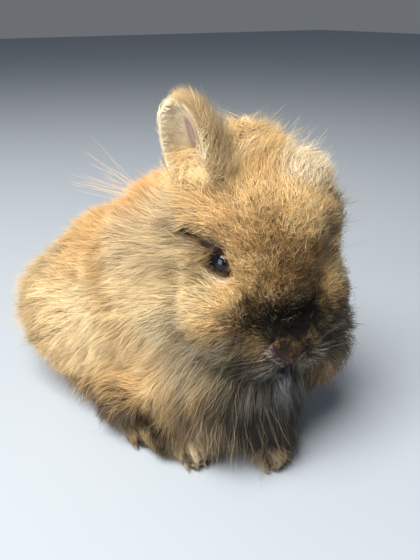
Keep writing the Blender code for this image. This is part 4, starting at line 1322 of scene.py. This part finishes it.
for side in ("left", "right"):
    eye = ball("eyeball_" + side, (0, 0, 0), (EYE_RADIUS,) * 3, Matrix(), segments=96)
    points = points_of(eye.data)
    up = points[:, 2] / (EYE_RADIUS * MM)
    flat = math.cos(math.radians(CORNEA_ANGLE))
    points *= 1 + CORNEA_RISE / EYE_RADIUS * smooth_step((up - flat) / (1 - flat))[:, None]
    angle = np.degrees(np.arccos(np.clip(up, -1, 1)))
    around = np.arctan2(points[:, 1], points[:, 0])
    streak = 0.5 + 0.5 * np.sin(around * IRIS_RAYS + np.sin(around * RAYS_WAVER) * 2)
    iris = np.array(IRIS) * (RAY_DARK + RAY_PALER * streak[:, None])
    to_iris = smooth_step((angle - PUPIL_ANGLE) / PUPIL_EDGE)[:, None]
    to_ball = smooth_step((angle - IRIS_ANGLE) / IRIS_EDGE)[:, None]
    colours = (np.array(PUPIL) * (1 - to_iris) + iris * to_iris) * (1 - to_ball)
    colours += np.array(BALL) * to_ball
    move_points(eye.data, points)
    outwards = Matrix.Rotation(math.radians(PUPIL_OUT if side == "left" else -PUPIL_OUT), 4, "Y")
    upwards = Matrix.Rotation(math.radians(-PUPIL_UP), 4, "X")
    eye.data.transform(eye_axes[side] @ outwards @ upwards)
    paint(eye.data, colours)
    only(eye)
    bpy.ops.object.shade_smooth()
    eye.data.materials.append(eye_look)
    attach(eye, "root")
    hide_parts("eye_" + side)

# ---------------------------------------------------------------- the nose
# The nose is bare mauve skin only along its two slanting nostril slits and where they meet
# in the cleft to the lip; brown velvet covers the wedge between them, pale hair the wings.
SLITS = [
    # from, to, half width, depth
    ((-11.0, -25.6), (-2.0, -35.4), 1.1, 2.0),
    ((7.2, -26.0), (-2.0, -35.4), 1.5, 2.0),
    ((-2.0, -35.4), (-0.8, -41.0), 1.0, 1.4),
]
NOSE_TIP, WEDGE_SLOPE = (-2.0, -35.4), 1.08
WING_SLOPE, SLIT_BARE, PHILTRUM_BARE = 1.5, 0.9, 2.1
RIM_AT, RIM_HALF, RIM_RISE = 0.28, 0.2, 0.25
GROOVE_SHADE, WING_DARKENS = (0.66, 0.74, 0.70), 0.55
NOSE_MAUVE, NOSE_VELVET = tone(124, 82, 93), tone(46, 34, 26)
deselect()
bpy.ops.mesh.primitive_ico_sphere_add(subdivisions=6, radius=1)
nose = bpy.context.object
nose.name = "nose_leather"
points = (points_of(nose.data) * NOSE_RADII + NOSE_PLACE) * MM
normals = (points / MM - NOSE_PLACE) / np.array(NOSE_RADII) ** 2
normals /= lengths(normals)
flat = points[:, (0, 2)] / MM
in_front = points[:, 1] < NOSE_PLACE[1] * MM + 0.001
groove = np.zeros(len(points))
sunk = np.zeros(len(points))
closest = np.full(len(points), 99.0)
for start, end, half, sink in SLITS:
    span = np.array(end) - start
    share = np.clip((flat - start) @ span / (span @ span), 0, 1)
    away = np.linalg.norm(flat - start - share[:, None] * span, axis=1)
    closest = np.minimum(closest, away)
    here = np.exp(-((away / half) ** 2)) * in_front
    groove = np.maximum(groove, here)
    sunk = np.maximum(sunk, here * sink)
rims = np.exp(-(((groove - RIM_AT) / RIM_HALF) ** 2)) * RIM_RISE
points = points + normals * ((rims - sunk) * MM)[:, None]
wedge = flat[:, 1] > NOSE_TIP[1] + WEDGE_SLOPE * np.abs(flat[:, 0] - NOSE_TIP[0])
points[:, 1] += np.where(wedge | ~in_front, 0, np.clip(closest - 1.0, 0, 3) * WING_SLOPE) * MM
furred = (wedge & (closest > 1.0))[:, None]
colours = np.where(furred, np.array(NOSE_VELVET), np.array(NOSE_MAUVE))
# Painted shade inside the nostril slits.
colours = colours * (1 - groove[:, None] * GROOVE_SHADE)
outer = smooth_step((np.abs(flat[:, 0] - NOSE_TIP[0]) - 3) / 5)[:, None]
paint(nose.data, colours * (1 - WING_DARKENS * outer))
move_points(nose.data, from_axes(head, points / MM))
only(nose)
bpy.ops.object.shade_smooth()
nose_look = grained_material(
    "nose_leather", roughness=0.55, scale=2600.0, low=0.75, high=1.2, rise=0.0002)
nose.data.materials.append(nose_look)
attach(nose, "root")
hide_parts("nose")

# Its hair: none within the slits and just below them, dark velvet that combs up over the
# wedge, pale hair that combs outwards over the wings.
NOSE_BARE, NOSE_DEPTH, NOSE_LENGTH = (1.5, 0.9), (1.3, 1.5), (3.2, 5.0)  # wedge, wings
NOSE_CURL, NOSE_HAIR, NOSE_DENSITY = 0.5, 0.19, 12
NOSE_BROWN, NOSE_SOOT, SOOT_FROM, SOOT_FADES = tone(78, 56, 46), tone(34, 26, 19), -31, 6
GOLDEN_SHARE, NOSE_GOLD = 0.30, tone(112, 84, 58)
WING_PALE, WING_DARK = tone(168, 158, 144), tone(58, 50, 45)
bare = smooth_step((np.where(wedge, *NOSE_BARE) - closest) / 0.4)
size = np.zeros((len(points), growth.shape[1]))
size[:, DEPTH], size[:, LENGTH] = np.where(wedge, *NOSE_DEPTH), np.where(wedge, *NOSE_LENGTH)
size[:, CURL], size[:, WIDTH] = NOSE_CURL, NOSE_HAIR
size[:, DENSITY] = NOSE_DENSITY * (1 - bare) * in_front
sideways = np.where(wedge, flat[:, 0] * 0.12, np.sign(flat[:, 0]))
lie = np.stack([sideways, np.full(len(flat), -0.3), np.where(wedge, 1.0, -0.1)], axis=1)
lie = lie @ np.array(head)[:3, :3].T
skin = Skin(nose, size, lie, np.zeros(len(points), np.int32))
home, weights = skin.sown()
unwrap = skin.unwrapped((0,))
path, roots, normals, width, lock, loose = lay_coat(
    skin, home, weights, cling=0.8, frizz=0.55, pull=0.25, stray=0.08)
patch = (unwrap[home] * weights[:, :, None]).sum(axis=1)
high = smooth_step((local_to(head, roots)[:, 2] - SOOT_FROM) / SOOT_FADES)[:, None]
hue = np.array(NOSE_BROWN) * (1 - high) + np.array(NOSE_SOOT) * high
golden = (random.random(lock.max() + 1) < GOLDEN_SHARE)[lock][:, None]
hue = np.where(golden, np.array(NOSE_GOLD), hue)
on_wedge = skin.at(wedge[:, None].astype(float), home, weights) > 0.5
wing_hue = np.where(golden, np.array(WING_PALE), np.array(WING_DARK))
hue = np.where(on_wedge, hue, wing_hue)
base, tip = hair_colours(hue, lock, loose, dark_and_shaded_base=0.35, pale_tip=1.35, vary=0.4)
keep = np.ones(len(path), bool)
for step in range(1, len(STEPS)):
    spot = local_to(head, path[:, step])[:, (0, 2)]
    for (start, end, half, sink), narrow in zip(SLITS, (SLIT_BARE, SLIT_BARE, PHILTRUM_BARE)):
        keep &= np.linalg.norm(from_line(spot, np.array(start), np.array(end)), axis=1) > narrow
tufts(
    "coat_nose", path[keep], width[keep], STEPS, base[keep], tip[keep],
    patch[keep], normals[keep])

# ---------------------------------------------------------------- the claws
# Short horn claws, four to a foot, each rooted in the tip of its toe under the fur. They
# taper, curve down a little towards the floor, and are paler in patches.
CLAW_SHARE, CLAW_DROOP, CLAW_HALF = 0.48, 0.4, 0.58
CLAW_TAPER, CLAW_NARROW, HEEL_POINTS = 0.12, 0.8, 6
HORN_DARK, HORN_PALE, HORN_PATCHES = tone(120, 100, 84), tone(168, 150, 128), 4
claw_look = grained_material(
    "horn_claw", roughness=0.4, scale=700.0, low=0.6, high=1.3, rise=0)
for foot in FEET:
    claws = []
    names = [f"claw_{foot}_{toe}" for toe in range(1, 5)]
    for name in names:
        points = points_of(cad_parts[name].data)
        tip = points[points[:, 1].argmin()]
        rearmost = np.linalg.norm(points - tip, axis=1).argsort()[-HEEL_POINTS:]
        heel = points[rearmost].mean(axis=0)
        deselect()
        bpy.ops.mesh.primitive_cone_add(vertices=12, radius1=1, radius2=CLAW_TAPER, depth=1)
        claw = bpy.context.object
        bpy.ops.object.mode_set(mode="EDIT")
        bpy.ops.mesh.select_all(action="SELECT")
        bpy.ops.mesh.subdivide(number_cuts=2)
        bpy.ops.object.mode_set(mode="OBJECT")
        shape = points_of(claw.data)
        share = shape[:, 2] + 0.5
        line = heel + (tip - heel) * (share * CLAW_SHARE)[:, None]
        line[:, 2] -= share**2 * CLAW_DROOP * MM
        side = np.cross(tip - heel, (0, 0, 1.0))
        side /= np.linalg.norm(side)
        over = np.cross(side, tip - heel)
        over /= np.linalg.norm(over)
        line += (side * shape[:, :1] * CLAW_NARROW + over * shape[:, 1:2]) * CLAW_HALF * MM
        line[:, 2] = np.maximum(line[:, 2], FLOOR_CLEARANCE * MM)
        move_points(claw.data, line)
        bpy.ops.object.shade_smooth()
        claws.append(claw)
    claws = joined("claws_" + foot, claws)
    pale = smooth_step(wander(points_of(claws.data), HORN_PATCHES, 31) + 0.5)[:, None]
    paint(claws.data, np.array(HORN_DARK) * (1 - pale) + np.array(HORN_PALE) * pale)
    claws.data.materials.append(claw_look)
    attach(claws, "root")
    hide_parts(*names)

# ---------------------------------------------------------------- whiskers and wisps
# Stiff pale whiskers in rows on the pads, a few over the eyes, and single long hairs of the
# mane and coat that have come loose from it and stand away in thin curves.
STRAND_STEPS = (0.0, 0.12, 0.26, 0.42, 0.58, 0.74, 0.88, 1.0)
strands, strand_width, strand_hue = [], [], []


def strand(axes, start, way, length, droop, curl, width, hue):
    """One long hair from its root in the way it heads, bent down and waved."""
    way = Vector(way).normalized()
    side = way.cross(Vector((0.3, 0.2, 1))).normalized()
    phase, turns = random.uniform(0, 6.3), random.uniform(0.8, 1.6)
    line = []
    for share in STRAND_STEPS:
        spot = Vector(start) + way * (length * share)
        wave = curl * length * math.sin(phase + turns * 6.3 * share) * share
        spot += side * wave + Vector((0, 0, -droop * length * share**2))
        line.append(axes @ (spot * MM))
    strands.append([(p.x, p.y, max(p.z, FLOOR_CLEARANCE * MM)) for p in line])
    strand_width.append(width * MM)
    strand_hue.append(hue)


WHISKER, CREAM, DARK = tone(150, 140, 124), tone(230, 208, 168), tone(70, 56, 46)
PALE = tone(196, 190, 180)
WHISKER_LENGTH, WHISKER_SPREAD, WHISKER_CURL, WHISKER_HALF = (16, 34), 0.12, 0.02, 0.08
BROW_LENGTH, BROW_SPREAD, BROW_CURL, BROW_HALF = (12, 20), 0.25, 0.03, 0.09
for sign in (1, -1):
    for row in range(3):
        for place in range(3):
            start = (sign * (6.5 + place * 2.4), -31.5 + place * 1.6, -33 - row * 2.4)
            way = (sign * (1.0 + 0.2 * place), 0.15 + 0.1 * place, 0.25 - row * 0.22)
            strand(
                head, start, np.array(way) + random.normal(size=3) * WHISKER_SPREAD,
                random.uniform(*WHISKER_LENGTH), random.uniform(0.0, 0.2),
                WHISKER_CURL, WHISKER_HALF, WHISKER)
    for _ in range(2):
        way = (sign * 0.6, -0.5, 0.8) + random.normal(size=3) * BROW_SPREAD
        strand(
            head, (sign * 19, -9, 10), way, random.uniform(*BROW_LENGTH),
            0.05, BROW_CURL, BROW_HALF, DARK)
whisker_count = len(strands)
WISP_SPREAD, WISP_OUTWARD, WISP_VARIES, WISP_HALF = 0.25, 0.6, (0.7, 1.15), (0.08, 0.13)
OWN_HUE, COAT_HUE, STRAND_BASE, STRAND_TIP = 0.45, 0.65, 0.9, 1.05
WISPS = [
    # axes, middle, scatter, way, length, droop, curl, how many, hue
    (body, (-21, -20, 127), (4, 6, 3), (-0.83, 0.56, 0.1), 34, 0.0, 0.18, 34, CREAM),
    (ears["right"], (11, -4, 0), (3, 3, 2), (-0.2, -0.2, 1.0), 15, 0.0, 0.05, 150, CREAM),
    (head, (-9.5, -32, -35), (3, 2, 4), (-1.0, 0.3, -0.15), 7, 0.1, 0.03, 34, PALE),
    (head, (9, -32, -35), (3, 2, 4), (1.0, 0.3, -0.05), 7, 0.1, 0.03, 34, PALE),
    (head, (0, -16, 12), (22, 8, 16), (0.0, 0.2, 1.0), 5.5, 0.0, 0.16, 320, CREAM),
    (head, (0, -27, -9), (20, 5, 7), (0.0, 0.1, 1.0), 4.5, 0.0, 0.2, 170, CREAM),
    (head, (22, 24, 36), (12, 8, 6), (0.9, 0.5, 0.35), 24, 0.1, 0.04, 80, CREAM),
    (head, (38, 12, 10), (6, 12, 14), (1.0, 0.3, 0.1), 20, 0.1, 0.05, 50, CREAM),
    (head, (2, 24, 38), (16, 8, 4), (0.1, 0.2, 1.0), 16, 0.1, 0.04, 30, CREAM),
    (body, (-55, 62, 50), (12, 20, 22), (-0.9, 0.6, -0.1), 18, 0.15, 0.05, 90, CREAM),
    (body, (-50, 5, 40), (8, 24, 24), (-0.7, 0.2, -0.7), 20, 0.15, 0.06, 80, CREAM),
    (body, (-8, -80, 38), (22, 10, 8), (-0.1, -0.2, -1.0), 26, 0.0, 0.05, 60, CREAM),
    (head, (-30, -10, -38), (10, 10, 10), (-0.8, -0.1, -1.0), 24, 0.1, 0.06, 70, CREAM),
    (body, (30, 40, 60), (14, 40, 30), (0.9, 0.4, -0.3), 16, 0.15, 0.05, 50, CREAM),
    (body, (-10, 86, 45), (26, 8, 24), (0.0, 1.0, -0.5), 16, 0.15, 0.05, 50, CREAM),
]
for axes, middle, scatter, way, length, droop, curl, many, hue in WISPS:
    for _ in range(many):
        start = np.array(middle) + random.normal(size=3) * scatter * 0.6
        root = np.array(axes @ (Vector(start) * MM))
        under = hide_skin.tree.find(root)[1]
        spot = Vector(hide_skin.points[under]) + Vector(hide_skin.normals[under]) * MM
        start = axes.inverted() @ spot / MM
        outward = axes.inverted().to_3x3() @ Vector(hide_skin.normals[under])
        heading = np.array(way) + np.array(outward) * WISP_OUTWARD
        heading = heading + random.normal(size=3) * WISP_SPREAD
        strand(
            axes, start, heading, length * random.uniform(*WISP_VARIES),
            droop, curl, random.uniform(*WISP_HALF), hue)
paths = np.array(strands)
clear = ~crossing_bare(paths)
whisker_count = clear[:whisker_count].sum()
paths, strand_width = paths[clear], np.array(strand_width)[clear]
hue = np.array(strand_hue)[clear]
under = nearest(hide_skin.tree, paths[:, 0])
# Each hair has its own spot of the map: one cell of a grid of UV_CELLS by UV_CELLS.
UV_CELLS = 300
patch = np.stack([under % UV_CELLS, under // UV_CELLS % UV_CELLS], axis=1) / UV_CELLS * 0.99
# The wisps, not the whiskers, take up the hue of the coat they have come loose from.
coat_hue = markings_and_painted_shading(paths[:, 0])
hue[whisker_count:] = hue[whisker_count:] * OWN_HUE + coat_hue[whisker_count:] * COAT_HUE
tufts(
    "whiskers_and_wisps", paths, strand_width, STRAND_STEPS, hue * STRAND_BASE,
    hue * STRAND_TIP, patch, hide_skin.normals[under])

# ---------------------------------------------------------------- the studio
# A plain pale floor, one broad soft light from the upper left and a weak one low at its side.
FLOOR_SIZE, FLOOR_COLOUR = 8, (0.42, 0.47, 0.54, 1)
LIGHT_COLOUR, AIM = (1.0, 0.96, 0.88), (0, 0, 0.07)
SKY_COLOUR, SKY_STRENGTH = (0.78, 0.84, 0.92, 1), 0.19
deselect()
bpy.ops.mesh.primitive_plane_add(size=FLOOR_SIZE, location=(0, 0, 0))
floor = bpy.context.object
floor.name = "studio_floor"
floor_look, tree, shader = new_material("pale_floor", roughness=0.9)
shader.inputs["Base Color"].default_value = FLOOR_COLOUR
floor.data.materials.append(floor_look)


def soft_light(name, place, size, power):
    """A square lamp at this place that looks at the middle of the rabbit."""
    light = bpy.data.lights.new(name, "AREA")
    light.size = size
    light.energy = power
    light.color = LIGHT_COLOUR
    obj = bpy.data.objects.new(name, light)
    obj.location = place
    obj.rotation_mode = "QUATERNION"
    obj.rotation_quaternion = (Vector(place) - Vector(AIM)).to_track_quat("Z", "Y")
    bpy.context.scene.collection.objects.link(obj)


soft_light("key_light", (-0.46, -0.16, 1.02), size=0.7, power=23)
soft_light("side_light", (-1.05, -0.15, 0.30), size=0.6, power=6)
world = bpy.data.worlds.new("studio_world")
bpy.context.scene.world = world
world.use_nodes = True
world.node_tree.nodes["Background"].inputs["Color"].default_value = SKY_COLOUR
world.node_tree.nodes["Background"].inputs["Strength"].default_value = SKY_STRENGTH
bpy.context.scene.view_settings.view_transform = "Standard"

CAMERA_AZIMUTH, CAMERA_ELEVATION = -34, 26
CAMERA_PLACE = Vector((-129.65, -235.98, 195.2)) * MM
turn, rise = math.radians(CAMERA_AZIMUTH), math.radians(CAMERA_ELEVATION)
back = Vector((math.sin(turn) * math.cos(rise), -math.cos(turn) * math.cos(rise), math.sin(rise)))
right = Vector((math.cos(turn), math.sin(turn), 0))
upright = Matrix((right, back.cross(right), back)).transposed().to_4x4()
camera_data = bpy.data.cameras.new("camera")
camera_data.sensor_width = 24
camera_data.lens = 24
camera_data.clip_start = 0.01
camera = bpy.data.objects.new("camera", camera_data)
bpy.context.scene.collection.objects.link(camera)
camera.matrix_world = Matrix.Translation(CAMERA_PLACE) @ upright
bpy.context.scene.camera = camera
